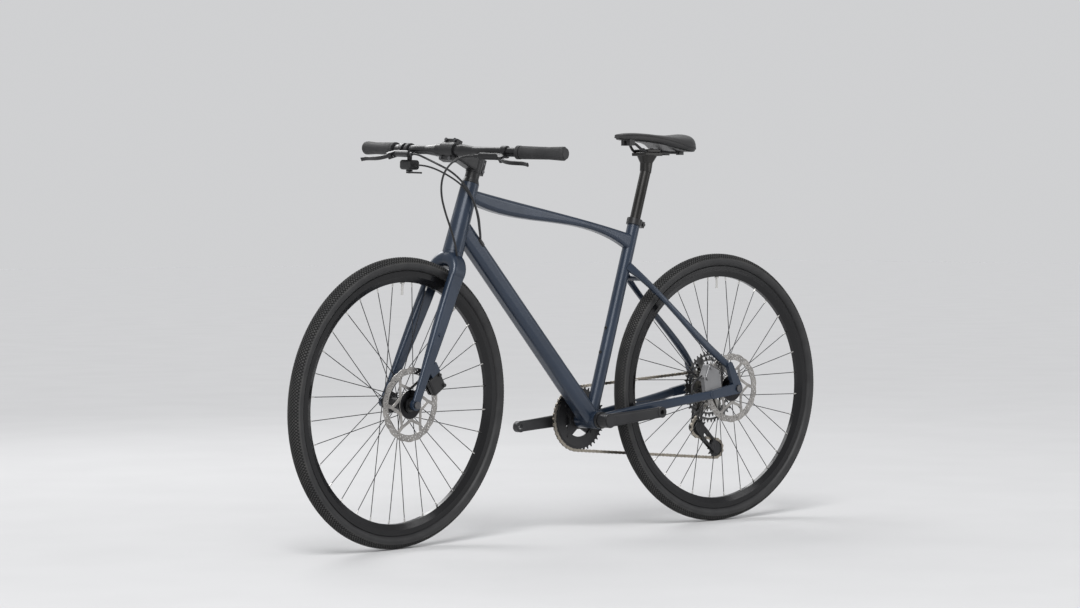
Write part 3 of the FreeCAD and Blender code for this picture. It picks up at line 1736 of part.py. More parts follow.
def chain_path(swing):
    """Straight and round stretches of the chain, in the order that it runs."""
    circles = drive_circles(swing)
    tangents = []
    for first, second in zip(circles, circles[1:] + circles[:1]):
        start, start_radius, start_way = first
        end, end_radius, end_way = second
        across = start_way * start_radius - end_way * end_radius
        apart = end - start
        run = math.sqrt(abs(apart) ** 2 - across**2)
        way = apart / complex(run, -across)
        square = way * -1j
        tangents.append((start + start_way * start_radius * square, end + end_way * end_radius * square))
    pieces = []
    for number, (centre, radius, way) in enumerate(circles):
        arrive = tangents[number - 1][1]
        leave = tangents[number][0]
        begin = cmath.phase(arrive - centre)
        sweep = (way * (cmath.phase(leave - centre) - begin)) % (2 * math.pi)
        pieces.append((sweep * radius, centre, radius, way, begin))
        pieces.append((abs(tangents[number][1] - leave), leave, None, tangents[number][1] - leave, None))
    return pieces


def path_point(pieces, distance):
    """Place on the chain's path and the wheel that carries it there, if any."""
    total = sum(piece[0] for piece in pieces)
    distance = distance % total
    for number, (length, base, radius, way, begin) in enumerate(pieces):
        if distance <= length:
            if radius is None:
                return base + way * (distance / length), None
            return base + cmath.rect(radius, begin + way * distance / radius), number // 2
        distance -= length
    return pieces[0][1], None


def chain_pins(swing):
    """Pins a pitch apart along the path, and the length in pitches that is left over."""
    pieces = chain_path(swing)
    total = sum(piece[0] for piece in pieces)
    place = pieces[0][0] / 2
    first = place
    pins = [path_point(pieces, place)]
    while True:
        low = place + chain_pitch
        high = place + chain_pitch + chain_slack
        for _ in range(40):
            guess = (low + high) / 2
            if abs(path_point(pieces, guess)[0] - pins[-1][0]) < chain_pitch:
                low = guess
            else:
                high = guess
        if low - first > total + chain_pitch / 2:
            return pins, len(pins) - (place - first - total) / chain_pitch
        place = low
        pins.append(path_point(pieces, place))


def settle_chain():
    """Cage angle at which an even number of links closes, and the pins."""
    wanted = 2 * round((chain_pins(cage_angle)[1] - 1) / 2) + 1
    low = cage_angle - cage_search
    high = cage_angle + cage_search
    rising = chain_pins(high)[1] > chain_pins(low)[1]
    for _ in range(40):
        guess = (low + high) / 2
        if (chain_pins(guess)[1] < wanted) == rising:
            low = guess
        else:
            high = guess
    pins = chain_pins(low)[0]
    return low, pins[: wanted - 1]


settled_angle, pins_settled = settle_chain()


def wheel_phase(number, centre):
    """Angle of a pin that lies on a wheel of the drive."""
    for spot, carrier in pins_settled:
        if carrier == number:
            return math.degrees(cmath.phase(spot - complex(centre.x, centre.z)))
    return 0.0


def link_plate(low, high, hole):
    """Waisted side plate from the pin at the origin to the next."""
    middle = chain_pitch / 2
    outline = Part.Wire([
        arc(V(0, 0, plate_radius), V(-plate_radius, 0, 0), V(0, 0, -plate_radius)),
        arc(V(0, 0, -plate_radius), V(middle, 0, -plate_waist), V(chain_pitch, 0, -plate_radius)),
        arc(
            V(chain_pitch, 0, -plate_radius), V(chain_pitch + plate_radius, 0, 0),
            V(chain_pitch, 0, plate_radius),
        ),
        arc(V(chain_pitch, 0, plate_radius), V(middle, 0, plate_waist), V(0, 0, plate_radius)),
    ])
    holes = [circle_wire(V(chain_pitch * end, 0, 0), hole) for end in range(2)] if hole else []
    return plate(outline, holes, low, high)


def inner_link():
    bore = pin_radius + pin_gap
    low = inner_plate_place
    high = inner_plate_place + inner_plate_thickness
    shapes = [link_plate(low, high, bore), link_plate(-high, -low, bore)]
    for end in range(2):
        spot = V(chain_pitch * end, 0, 0)
        shapes.append(plate(circle_wire(spot, roller_radius), [circle_wire(spot, bore)], -low, low))
    return union(shapes)


def outer_link():
    low = inner_plate_place + inner_plate_thickness + outer_plate_gap
    high = low + outer_plate_thickness
    shapes = [link_plate(low, high, 0), link_plate(-high, -low, 0)]
    for end in range(2):
        spot = V(chain_pitch * end, 0, 0)
        shapes.append(disc(spot, pin_radius, -high - pin_overhang, high + pin_overhang))
    return union(shapes)


def chain():
    """Closed run of alternating inner and outer links."""
    kinds = (inner_link(), outer_link())
    made = []
    count = len(pins_settled)
    for number in range(count):
        start = pins_settled[number][0]
        end = pins_settled[(number + 1) % count][0]
        link = kinds[number % 2].copy()
        turn = FreeCAD.Rotation(Y_AXIS, -math.degrees(cmath.phase(end - start)))
        link.Placement = FreeCAD.Placement(V(start.real, -chain_line, start.imag), turn)
        made.append(link)
    return made


def chainring():
    """Toothed ring with a thicker body, and its bolts."""
    phase = wheel_phase(1, bottom_bracket)
    half = tooth_thickness / 2
    teeth = plate(
        sprocket_wire(bottom_bracket, ring_teeth, phase), [circle_wire(bottom_bracket, ring_body_outer)],
        -chain_line - half, -chain_line + half,
    )
    thick = ring_body_thickness / 2
    spots = ring_bolt_spots()
    holes = [circle_wire(bottom_bracket, ring_body_inner)]
    rim_wire = circle_wire(bottom_bracket, ring_body_outer)
    body = plate(rim_wire, holes, -chain_line - thick, -chain_line + thick)
    low = -chain_line + thick
    bolts = [disc(spot, ring_bolt_radius, low, low + ring_bolt_height) for spot in spots]
    return [union([teeth, body])] + bolts


def ring_bolt_spots():
    spots = []
    for arm in range(spider_arms):
        angle = crank_angle + full_turn * (2 * arm + 1) / (2 * spider_arms)
        spots.append(bottom_bracket + heading(angle) * spider_bolt_circle)
    return spots


def crank_arm(way, side):
    """Arm from the crank axle to the pedal eye; side is 1 on the left."""
    outward = Y_AXIS * side
    up = way.cross(outward)
    rows = (
        (0, crank_root_place, crank_root_height, crank_root_width),
        (crank_length / 2, crank_mid_place, crank_mid_height, crank_mid_width),
        (crank_length, crank_end_place, crank_end_height, crank_end_width),
    )
    wires = []
    for reach, place, height, width in rows:
        centre = bottom_bracket + way * reach + outward * place
        wires.append(rounded_wire(centre, up, outward, height, width, tube_corner_share))
    arm = loft(wires)
    eye_low = crank_end_place - pedal_eye_width / 2
    low, high = sorted((side * eye_low, side * (eye_low + pedal_eye_width)))
    pedal = bottom_bracket + way * crank_length
    eye = disc(pedal, pedal_eye_radius, low, high)
    boss_low = shell_width / 2 + cup_width + moving_gap
    low, high = sorted((side * boss_low, side * crank_outer_place))
    boss = disc(bottom_bracket, crank_boss_radius, low, high)
    far = crank_end_place + pedal_eye_width
    thread = disc(pedal, pedal_bore_radius, -far, far)
    return union([arm, eye, boss]), thread


def left_crank():
    """Left arm clamped on the axle, and its cap."""
    arm, thread = crank_arm(heading(full_turn / 2 + crank_angle), 1)
    far = crank_outer_place + overrun
    bore = disc(bottom_bracket, spindle_radius + press_gap, 0, far)
    cap = disc(bottom_bracket, crank_cap_radius, crank_outer_place, crank_outer_place + crank_cap_height)
    return [arm.cut([thread, bore]), cap]


def right_crank():
    """Right arm with its spider and the hollow axle."""
    arm, thread = crank_arm(heading(crank_angle), -1)
    high = -chain_line - ring_body_thickness / 2
    low = high - spider_thickness
    spider = [disc(bottom_bracket, spider_radius, low, high)]
    root_radius = spider_radius - spider_arm_radius
    for spot in ring_bolt_spots():
        spider.append(capsule(bottom_bracket, spot, root_radius, spider_arm_radius, low, high))
    axle = disc(bottom_bracket, spindle_radius, -crank_outer_place, crank_outer_place)
    boss = disc(bottom_bracket, crank_boss_radius, -crank_outer_place, low)
    shape = union([arm, axle, boss] + spider)
    far = crank_outer_place + overrun
    return [shape.cut([thread, disc(bottom_bracket, spindle_bore_radius, -far, far)])]


def cassette():
    """Freehub body, sprockets, the spacers between them and the lockring."""
    made = []
    drive = cog_teeth.index(drive_cog_teeth)
    first = -chain_line - cog_pitch * drive
    for number, teeth in enumerate(cog_teeth):
        place = first + cog_pitch * number
        phase = wheel_phase(0, rear_axle) if number == drive else 0.0
        holes = [circle_wire(rear_axle, freehub_radius + press_gap)]
        if teeth >= cog_window_from:
            holes += cog_window_wires(teeth)
        half = cog_thickness / 2
        made.append(plate(sprocket_wire(rear_axle, teeth, phase), holes, place - half, place + half))
        if number:
            low = place - cog_pitch + half
            bore = [circle_wire(rear_axle, freehub_radius + press_gap)]
            made.append(plate(circle_wire(rear_axle, cog_spacer_radius), bore, low, place - half))
    outer_end = first - cog_thickness / 2
    inner_end = -rear_hub_right_end - moving_gap
    body = disc(rear_axle, freehub_radius, outer_end, inner_end)
    bore = disc(rear_axle, axle_radius + running_gap, outer_end - overrun, inner_end + overrun)
    made.append(body.cut(bore))
    lock = plate(
        circle_wire(rear_axle, cassette_lock_radius), [circle_wire(rear_axle, cassette_lock_bore)],
        outer_end - cassette_lock_width, outer_end,
    )
    made.append(lock)
    return made


def cog_window_wires(teeth):
    """Openings between the arms of a large sprocket."""
    flat = V(rear_axle.x, 0, rear_axle.z)
    outer = pitch_radius(teeth) - cog_rim
    inner = cog_spacer_radius + cog_hub / 3
    span = full_turn / cog_windows
    wires = []
    for window in range(cog_windows):
        base = span * window
        angles = [base + cog_arm_turn / 2, base + span / 2, base + span - cog_arm_turn / 2]
        outer_spots = [flat + heading(angle) * outer for angle in angles]
        inner_spots = [flat + heading(angle) * inner for angle in reversed(angles)]
        wires.append(Part.Wire([
            arc(*outer_spots), line(outer_spots[-1], inner_spots[0]),
            arc(*inner_spots), line(inner_spots[-1], outer_spots[0]),
        ]))
    return wires


# Rear derailleur

guide_spot = rear_axle + V(guide_forward, -chain_line, -guide_drop)
tension_spot = guide_spot + heading(settled_angle) * cage_length
hanger_spot = rear_axle + V(-hanger_back, 0, -hanger_drop)


def pulley(centre, number):
    """Toothed wheel with a hub, turning on a cage pin."""
    phase = wheel_phase(number, centre)
    half = tooth_thickness / 2
    bore = pulley_axle_radius + running_gap
    teeth = plate(
        sprocket_wire(centre, pulley_teeth, phase), [circle_wire(centre, bore)],
        -chain_line - half, -chain_line + half,
    )
    width = cage_room - moving_gap
    middle = plate(
        circle_wire(centre, pulley_hub_radius), [circle_wire(centre, bore)],
        -chain_line - width, -chain_line + width,
    )
    return [union([teeth, middle])]


def derailleur_cage():
    """Two plates joined by the pulley pins."""
    inner = -chain_line + cage_room
    outer = -chain_line - cage_room
    shapes = []
    for low, high in ((inner, inner + cage_plate), (outer - cage_plate, outer)):
        shapes.append(capsule(guide_spot, tension_spot, cage_guide_radius, cage_tension_radius, low, high))
    shapes.append(disc(guide_spot, pulley_axle_radius, outer + moving_gap, inner))
    shapes.append(disc(tension_spot, pulley_axle_radius, outer - cage_plate - moving_gap, inner + cage_plate))
    socket = disc(guide_spot, cage_pin_radius + running_gap, outer - cage_plate - overrun, outer)
    middle = (guide_spot + tension_spot) / 2
    start = middle + (guide_spot - middle) * cage_window_share
    end = middle + (tension_spot - middle) * cage_window_share
    low = outer - 2 * cage_plate
    high = inner + 2 * cage_plate
    window = capsule(start, end, cage_window_radius, cage_window_radius, low, high)
    return [union(shapes).cut([socket, window])]


def derailleur_body():
    """Hanger knuckle, the two links and the cage knuckle."""
    outer = -chain_line - cage_room
    cage_high = outer - cage_plate - moving_gap
    cage_low = cage_high - knuckle_width
    hanger_high = -rear_hub_spacing / 2 - hanger_thickness
    hanger_low = hanger_high - hanger_knuckle_width
    pin = disc(guide_spot, cage_pin_radius, cage_low, outer - moving_gap)
    lower = disc(guide_spot, knuckle_radius, cage_low, cage_high)
    upper = disc(hanger_spot, hanger_knuckle_radius, hanger_low, hanger_high)
    bolt = disc(hanger_spot, hanger_bolt_radius, hanger_low, hanger_high + hanger_thickness)
    start = V(hanger_spot.x, hanger_low + link_inset, hanger_spot.z)
    end = V(guide_spot.x, (cage_low + cage_high) / 2, guide_spot.z)
    along = unit(end - start)
    side = unit(Y_AXIS - along * along.y)
    up = along.cross(side)
    links = []
    for way in (1, -1):
        shift = side * (way * (link_thickness + link_gap) / 2)
        wires = [
            rounded_wire(spot + shift, side, up, link_thickness, height, tube_corner_share)
            for spot, height in ((start, link_root_height), (end, link_height))
        ]
        links.append(loft(wires, True))
    cable = cord(route(cable_tail_route), cable_radius + press_gap)
    return [union([pin, lower, upper, bolt] + links).cut(cable)]


# Seat


def seatpost():
    """Post with its cradle, the plate that holds the rails and its two bolts."""
    top = seat_point(post_top)
    foot = seat_point(post_top - post_length)
    bore = rod(foot - seat_up * overrun, top - seat_up * head_drop, post_radius - post_wall)
    rails = [rail(side) for side in (1, -1)]
    axes = (X_AXIS, Y_AXIS, Z_AXIS)
    rail_level = top + Z_AXIS * rail_rise
    lower_centre = rail_level - Z_AXIS * (cradle_height / 2)
    cradle = rounded_box(lower_centre, (cradle_length, cradle_width, cradle_height), axes, cradle_height / 4)
    neck = top - seat_up * head_drop
    back = heading(full_turn / 4 - seat_angle)
    halfway = (neck + lower_centre) / 2
    head = loft([
        rounded_wire(neck, back, Y_AXIS, yoke_neck_width, yoke_neck_width, yoke_corner_share),
        rounded_wire(halfway, X_AXIS, Y_AXIS, 2 * post_neck_radius, yoke_neck_width, yoke_corner_share),
        rounded_wire(lower_centre, X_AXIS, Y_AXIS, yoke_length, yoke_width, tube_corner_share),
    ], True)
    upper_centre = rail_level + Z_AXIS * (clamp_plate_height / 2)
    upper_sizes = (clamp_plate_length, cradle_width, clamp_plate_height)
    upper = rounded_box(upper_centre, upper_sizes, axes, clamp_plate_height / 4)
    holes = []
    bolts = []
    for side in (1, -1):
        spot = upper_centre + X_AXIS * (side * clamp_bolt_spread)
        low = spot - Z_AXIS * (clamp_plate_height / 2 + cradle_height)
        high = spot + Z_AXIS * (clamp_plate_height / 2)
        holes.append(rod(low - Z_AXIS * overrun, high + Z_AXIS * overrun, clamp_bolt_radius + press_gap))
        shank = rod(low, high, clamp_bolt_radius)
        bolts.append(union([shank, rod(high, high + Z_AXIS * clamp_bolt_radius, clamp_bolt_head)]))
    post = union([rod(foot, top - seat_up * head_drop, post_radius), head, cradle])
    return [post.cut([bore] + rails + holes), upper.cut(rails + holes)] + bolts


def rail(side):
    """One saddle rail, from the nose to the tail of the shell."""
    level = seat_point(post_top) + Z_AXIS * rail_rise
    places = (
        (rail_nose_reach + rail_end_run, rail_nose_place, rail_nose_rise),
        (rail_nose_reach, rail_nose_place, rail_nose_rise),
        (rail_flat_front, rail_place, 0), (-rail_flat_rear, rail_place, 0),
        (-rail_tail_reach, rail_tail_place, rail_tail_rise),
        (-rail_tail_reach - rail_end_run, rail_tail_place, rail_tail_rise),
    )
    return cord([level + V(ahead, side * place, up) for ahead, place, up in places], rail_radius)


def saddle_rails():
    return [rail(side) for side in (1, -1)]


def saddle_rows():
    """Place, half width, crown, side edge and underside of each section."""
    base = seat_point(post_top)
    length = saddle_front + saddle_rear
    for place, width, crown, side, under in saddle_shares:
        top = base.z + saddle_top * crown
        edge = base.z + saddle_top - saddle_side_drop * side
        floor = base.z + saddle_top - saddle_side_drop * under - saddle_shell_thickness
        yield base.x + saddle_front - length * place, saddle_half_width * width, top, edge, floor


def saddle():
    """Padded top with a crown and drawn-in sides."""
    wires = []
    for place, half, top, edge, floor in saddle_rows():
        low = min(floor, edge - saddle_shell_thickness)
        tuck = half - saddle_shell_inset
        middle = (low + edge) / 2
        bulge = half * (1 + saddle_bulge_share)
        left = [V(place, tuck, low), V(place, bulge, middle), V(place, half, edge)]
        right = [V(place, -half, edge), V(place, -bulge, middle), V(place, -tuck, low)]
        wires.append(Part.Wire([
            line(right[-1], left[0]), arc(*left), arc(left[-1], V(place, 0, top), right[0]), arc(*right),
        ]))
    return [loft(wires)]


def saddle_shell():
    """Thin base under the padding, which the rails plug into."""
    wires = []
    for place, half, top, edge, floor in saddle_rows():
        low = min(floor, edge - saddle_shell_thickness) - seat_gap
        tuck = half - 2 * saddle_shell_inset
        centre = V(place, 0, low - saddle_shell_thickness / 2)
        wires.append(rounded_wire(
            centre, Y_AXIS, Z_AXIS, 2 * tuck, saddle_shell_thickness, blade_corner_share
        ))
    level = seat_point(post_top) + Z_AXIS * rail_rise
    sockets = []
    for side in (1, -1):
        nose = level + V(rail_nose_reach + rail_end_run, side * rail_nose_place, rail_nose_rise)
        tail = level + V(-rail_tail_reach - rail_end_run, side * rail_tail_place, rail_tail_rise)
        for spot in (nose, tail):
            below = rail_radius + saddle_socket_floor
            centre = spot + Z_AXIS * ((saddle_socket_height - below) / 2)
            sizes = (saddle_socket_length, saddle_socket_width, saddle_socket_height + below)
            sockets.append(box(centre, sizes, (X_AXIS, Y_AXIS, Z_AXIS)))
    return [union([loft(wires)] + sockets).cut(saddle_rails() + saddle())]


# Cords


def steered(shapes):
    """Shapes of the front end, turned with the bar as it stands."""
    for shape in shapes:
        shape.rotate(steer_foot, head_up, steer_angle)
    return shapes


def route(points):
    return [V(*spot) for spot in points]


def rear_cables():
    """Hose tail to the rear caliper and cable tail to the derailleur."""
    return [cord(route(hose_tail_route), hose_radius), cord(route(cable_tail_route), cable_radius)]


def write(name, shapes):
    shape = shapes[0] if len(shapes) == 1 else Part.Compound(shapes)
    shape.exportStep("parts/" + name + ".step")


def nodes():
    """Every node by name, with its solids."""
    left_end = front_rotor_place + rotor_thickness / 2 + lockring_width
    rear_left_end = rear_rotor_place + rotor_thickness / 2 + lockring_width
    cassette_end = chain_line + cog_pitch * cog_teeth.index(drive_cog_teeth) + cog_thickness / 2
    cassette_end += cassette_lock_width
    fork_face = front_hub_spacing / 2 + fork_end_thickness
    rear_face = dropout_inner + dropout_thickness
    yield "head_tube", head_tube()
    yield "top_tube", top_tube()
    yield "down_tube", down_tube()
    yield "seat_tube", seat_tube()
    yield "bottom_bracket_shell", bottom_bracket_shell()
    yield "chainstays", chainstays()
    yield "seatstays", seatstays()
    yield "dropouts", dropouts()
    yield "frame_fittings", bottle_bosses() + cable_port_cover()
    yield "headset_bearings", headset_bearings()
    yield "bottom_bracket_cups", bottom_bracket_cups()
    yield "seat_clamp", seat_clamp()
    yield "rear_thru_axle", thru_axle(
        rear_axle, rear_left_end, cassette_end, rear_hub_spacing, rear_face, rear_face
    )
    yield "rear_brake_caliper", rear_brake_caliper()
    yield "rear_cables", rear_cables()
    yield "derailleur_body", derailleur_body()
    yield "chain", chain()
    yield "fork", steered(fork())
    yield "headset_spacers", steered(headset_spacers())
    yield "stem", steered(stem())
    yield "stem_faceplate", steered(stem_faceplate())
    yield "stem_hardware", steered(stem_hardware())
    yield "handlebar", steered(handlebar())
    yield "left_grip", steered(grip())
    yield "right_grip", steered([mirrored(piece) for piece in grip()])
    yield "brake_perches", steered(brake_perches())
    yield "shifter_body", steered(shifter_body())
    yield "front_thru_axle", steered(thru_axle(
        front_axle, left_end, front_hub_right_end, front_hub_spacing, fork_face, fork_face
    ))
    yield "front_brake_caliper", steered(front_brake_caliper())
    yield "front_brake_hose", steered([cord(route(front_hose_route), hose_radius)])
    yield "rear_brake_hose", [cord(route(rear_hose_route), hose_radius)]
    yield "shift_cable", [cord(route(gear_cable_route), cable_radius)]
    yield "left_brake_lever", steered([brake_lever()])
    yield "right_brake_lever", steered([mirrored(brake_lever())])
    yield "shift_thumb_lever", steered(paddle(1, thumb_length, thumb_angle))
    yield "shift_release_lever", steered(paddle(0, release_length, release_angle))
    for name, side in (("outer", 1), ("inner", -1)):
        yield "front_pad_" + name, steered(pad(front_axle, front_rotor_place, front_caliper_angle, side))
        yield "rear_pad_" + name, pad(rear_axle, rear_rotor_place, rear_caliper_angle, side)
    yield "front_tyre", steered(tyre(front_axle))
    yield "front_rim", steered(rim(front_axle))
    yield "front_spokes", steered(spokes(front_axle, front_left_flange, front_right_flange))
    yield "front_hub", steered(hub(
        front_axle, front_left_flange, front_right_flange, front_hub_right_end, front_rotor_place
    ))
    yield "front_rotor", steered(rotor(front_axle, front_rotor_place))
    yield "rear_tyre", tyre(rear_axle)
    yield "rear_rim", rim(rear_axle)
    yield "rear_spokes", spokes(rear_axle, rear_left_flange, rear_right_flange)
    yield "rear_hub", hub(
        rear_axle, rear_left_flange, rear_right_flange, rear_hub_right_end, rear_rotor_place
    )
    yield "rear_rotor", rotor(rear_axle, rear_rotor_place)
    yield "left_crank", left_crank()
    yield "right_crank", right_crank()
    yield "chainring", chainring()
    yield "cassette", cassette()
    yield "derailleur_cage", derailleur_cage()
    yield "guide_pulley", pulley(guide_spot, 3)
    yield "tension_pulley", pulley(tension_spot, 2)
    yield "seatpost", seatpost()
    yield "saddle_base", saddle_shell() + saddle_rails()
    yield "saddle", saddle()


def print_bends():
    """Radii of the bends of each hose and cable."""
    routes = (front_hose_route, rear_hose_route, gear_cable_route, hose_tail_route, cable_tail_route)
    for number, points in enumerate(routes):
        radii = [round(bend[-1], 1) for bend in route_bends(route(points))]
        print("Cord", number, "radii", radii, "length", round(route_wire(route(points)).Length, 1))


if __name__ == "__main__":
    os.makedirs("parts", exist_ok=True)
    print_bends()
    for node_name, node_shapes in nodes():
        write(node_name, node_shapes)
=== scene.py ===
import json
import math

import bpy
from mathutils import Matrix, Vector


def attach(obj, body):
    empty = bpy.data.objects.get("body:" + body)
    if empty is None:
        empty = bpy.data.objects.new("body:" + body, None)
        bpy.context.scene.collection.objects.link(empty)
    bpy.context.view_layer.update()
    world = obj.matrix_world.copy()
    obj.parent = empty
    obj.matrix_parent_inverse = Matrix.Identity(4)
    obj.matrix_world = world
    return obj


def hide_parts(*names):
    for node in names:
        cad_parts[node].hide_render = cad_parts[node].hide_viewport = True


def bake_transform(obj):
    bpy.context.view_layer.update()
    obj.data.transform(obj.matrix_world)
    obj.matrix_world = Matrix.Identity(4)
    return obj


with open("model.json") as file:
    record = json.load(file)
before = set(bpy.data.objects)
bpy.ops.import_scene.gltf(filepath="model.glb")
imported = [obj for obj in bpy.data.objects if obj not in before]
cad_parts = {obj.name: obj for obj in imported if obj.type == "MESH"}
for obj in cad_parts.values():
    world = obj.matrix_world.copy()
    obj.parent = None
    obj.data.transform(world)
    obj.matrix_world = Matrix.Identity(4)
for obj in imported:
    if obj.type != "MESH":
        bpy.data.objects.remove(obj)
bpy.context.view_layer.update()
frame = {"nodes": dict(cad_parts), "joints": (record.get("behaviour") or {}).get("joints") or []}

nodes = frame["nodes"]
scene = bpy.context.scene
MM = 0.001

# Sizes that the added pieces share with the CAD, in millimetres
TYRE_RADIUS = 350.0
TYRE_WIDTH = 40.0
BEAD_RADIUS = 311.15
BEAD_HALF = 10.35
NECK_RADIUS = 318.0
TREAD_DEPTH = 2.0
HOSE_RADIUS = 2.5
CABLE_RADIUS = 2.2
STEER_ANGLE = 7.5
SADDLE_BASE = (-277.59, 0.0, 931.83)
SADDLE_FRONT = 102.0
SADDLE_REAR = 121.0
SADDLE_HALF_WIDTH = 72.0
SADDLE_TOP = 78.0
SADDLE_SIDE_DROP = 44.0
SADDLE_SHELL = 3.0
SADDLE_INSET = 3.0
# Finer sizes of the added pieces, in millimetres
TREAD_FOOT = 0.4
TREAD_SKIN = 0.02
SADDLE_SEAM = 1.2
SADDLE_BULGE = 1.6
SADDLE_ROUNDING = 3.0
# Angles on the tyre's section where the tread begins and how soon it is full, in radians
TREAD_START = 0.35
TREAD_FADE = 0.12
TREAD_TOP_SHARE = 0.84
SADDLE_CROWN_POWER = 0.8
SADDLE_EDGE_ANGLE = 55.0
# Steps that the added pieces are drawn in
TYRE_TURNS = 240
WALL_STEPS = 8
CROWN_STEPS = 18
SADDLE_STATIONS = 64
SADDLE_TOP_STEPS = 20
SADDLE_SKIRT_STEPS = 5
ROUNDING_STEPS = 3
LINE_STEPS = 12
LINE_SIDE_STEPS = 5
# Each row: place from nose to tail, half width, crown, side edge and underside as shares
SADDLE_SHARES = (
    (0.000, 0.150, 0.945, 0.20, 0.26),
    (0.100, 0.255, 0.985, 0.16, 0.31),
    (0.250, 0.305, 1.000, 0.15, 0.35),
    (0.400, 0.375, 0.985, 0.18, 0.40),
    (0.550, 0.560, 0.955, 0.32, 0.52),
    (0.700, 0.840, 0.945, 0.56, 0.76),
    (0.830, 1.000, 0.970, 0.80, 0.92),
    (0.930, 0.950, 0.995, 0.82, 0.92),
    (1.000, 0.700, 0.975, 0.66, 0.74),
)
# Routes of the lines at the bar; the front hose's is given before the front end is turned
FRONT_HOSE = (
    (394.3, 106.1, 944.8), (397.6, 88.4, 944.8), (407, 69, 939), (422, 55, 926), (434, 46, 905),
    (439, 41, 877), (434, 38, 845), (420, 36, 812), (403, 36, 778), (388, 36, 747), (375.5, 33.5, 719),
    (366.5, 27.5, 699), (361.5, 20, 684),
)
REAR_HOSE = (
    (406.6, -90.6, 948.8), (407.7, -70.6, 948.0), (402, -45, 938), (386, -20, 924), (364, 2, 908),
    (345, 20, 886), (328, 32, 858), (314, 37, 826), (303, 36, 792), (294.3, 30.1, 760.8),
    (286.8, 24.3, 743.9), (281.4, 16.8, 727.6),
)
GEAR_CABLE = (
    (383.6, -100.4, 922.1), (384.8, -80.4, 921.3), (380, -56, 917), (371, -31, 908), (356, -9, 894),
    (338, 10, 876), (321, 24, 852), (307, 30, 824), (297, 31.5, 794), (290.2, 26.8, 764.3),
    (282.9, 20.5, 747.3), (277.6, 12.6, 730.8),
)

joints = {joint["name"]: joint for joint in frame["joints"]}


def wheel_frame(joint):
    """Matrix from a wheel's own axes, with Y along its axle, to the shared frame."""
    axis = Vector(joints[joint]["axis"]).normalized()
    turn = Vector((0, 1, 0)).rotation_difference(axis).to_matrix().to_4x4()
    return Matrix.Translation(Vector(joints[joint]["pos_m"])) @ turn


WHEELS = {"front": wheel_frame("front_wheel_spin"), "rear": wheel_frame("rear_wheel_spin")}
steer_joint = joints["steering"]
steer_spot = Vector(steer_joint["pos_m"])
steer_turn = Matrix.Rotation(math.radians(STEER_ANGLE), 4, Vector(steer_joint["axis"]))
STEERED = Matrix.Translation(steer_spot) @ steer_turn @ Matrix.Translation(-steer_spot)


# Finishes

# Radii where a finish changes, and the softness of one change, in metres
NIPPLE_START = 0.2795
RIM_START = 0.2888
CARRIER_RADIUS = 0.0345
CASSETTE_EDGE = 0.060
CASSETTE_SOFTNESS = 0.012
CARRIER_SOFTNESS = 0.0004
# Heights on the tyre's section where the wall's finish turns into the tread's, in metres
TREAD_BLEND = (0.0035, 0.0065)
# Depth below the tread's skin where the painted highlight on the block tops is full, in metres; deeper down
# the grooves get painted shade
TREAD_EDGE = 0.0002
# Rounding that sharp edges are shown with, in metres, and how finely
EDGE_RADIUS = 0.0009
EDGE_SAMPLES = 6
# Spans of a noise's values that a finish spreads over its whole range
MIDDLE_SPAN = (0.3, 0.7)
CLOUD_SPAN = (0.35, 0.65)
DUST_SPAN = (0.35, 0.7)
RUBBER_SPAN = (0.4, 0.7)
# Rings on turned steel and on a tyre's wall, in radians per metre
STEEL_RINGS = 9000.0
WALL_RINGS = 2600.0


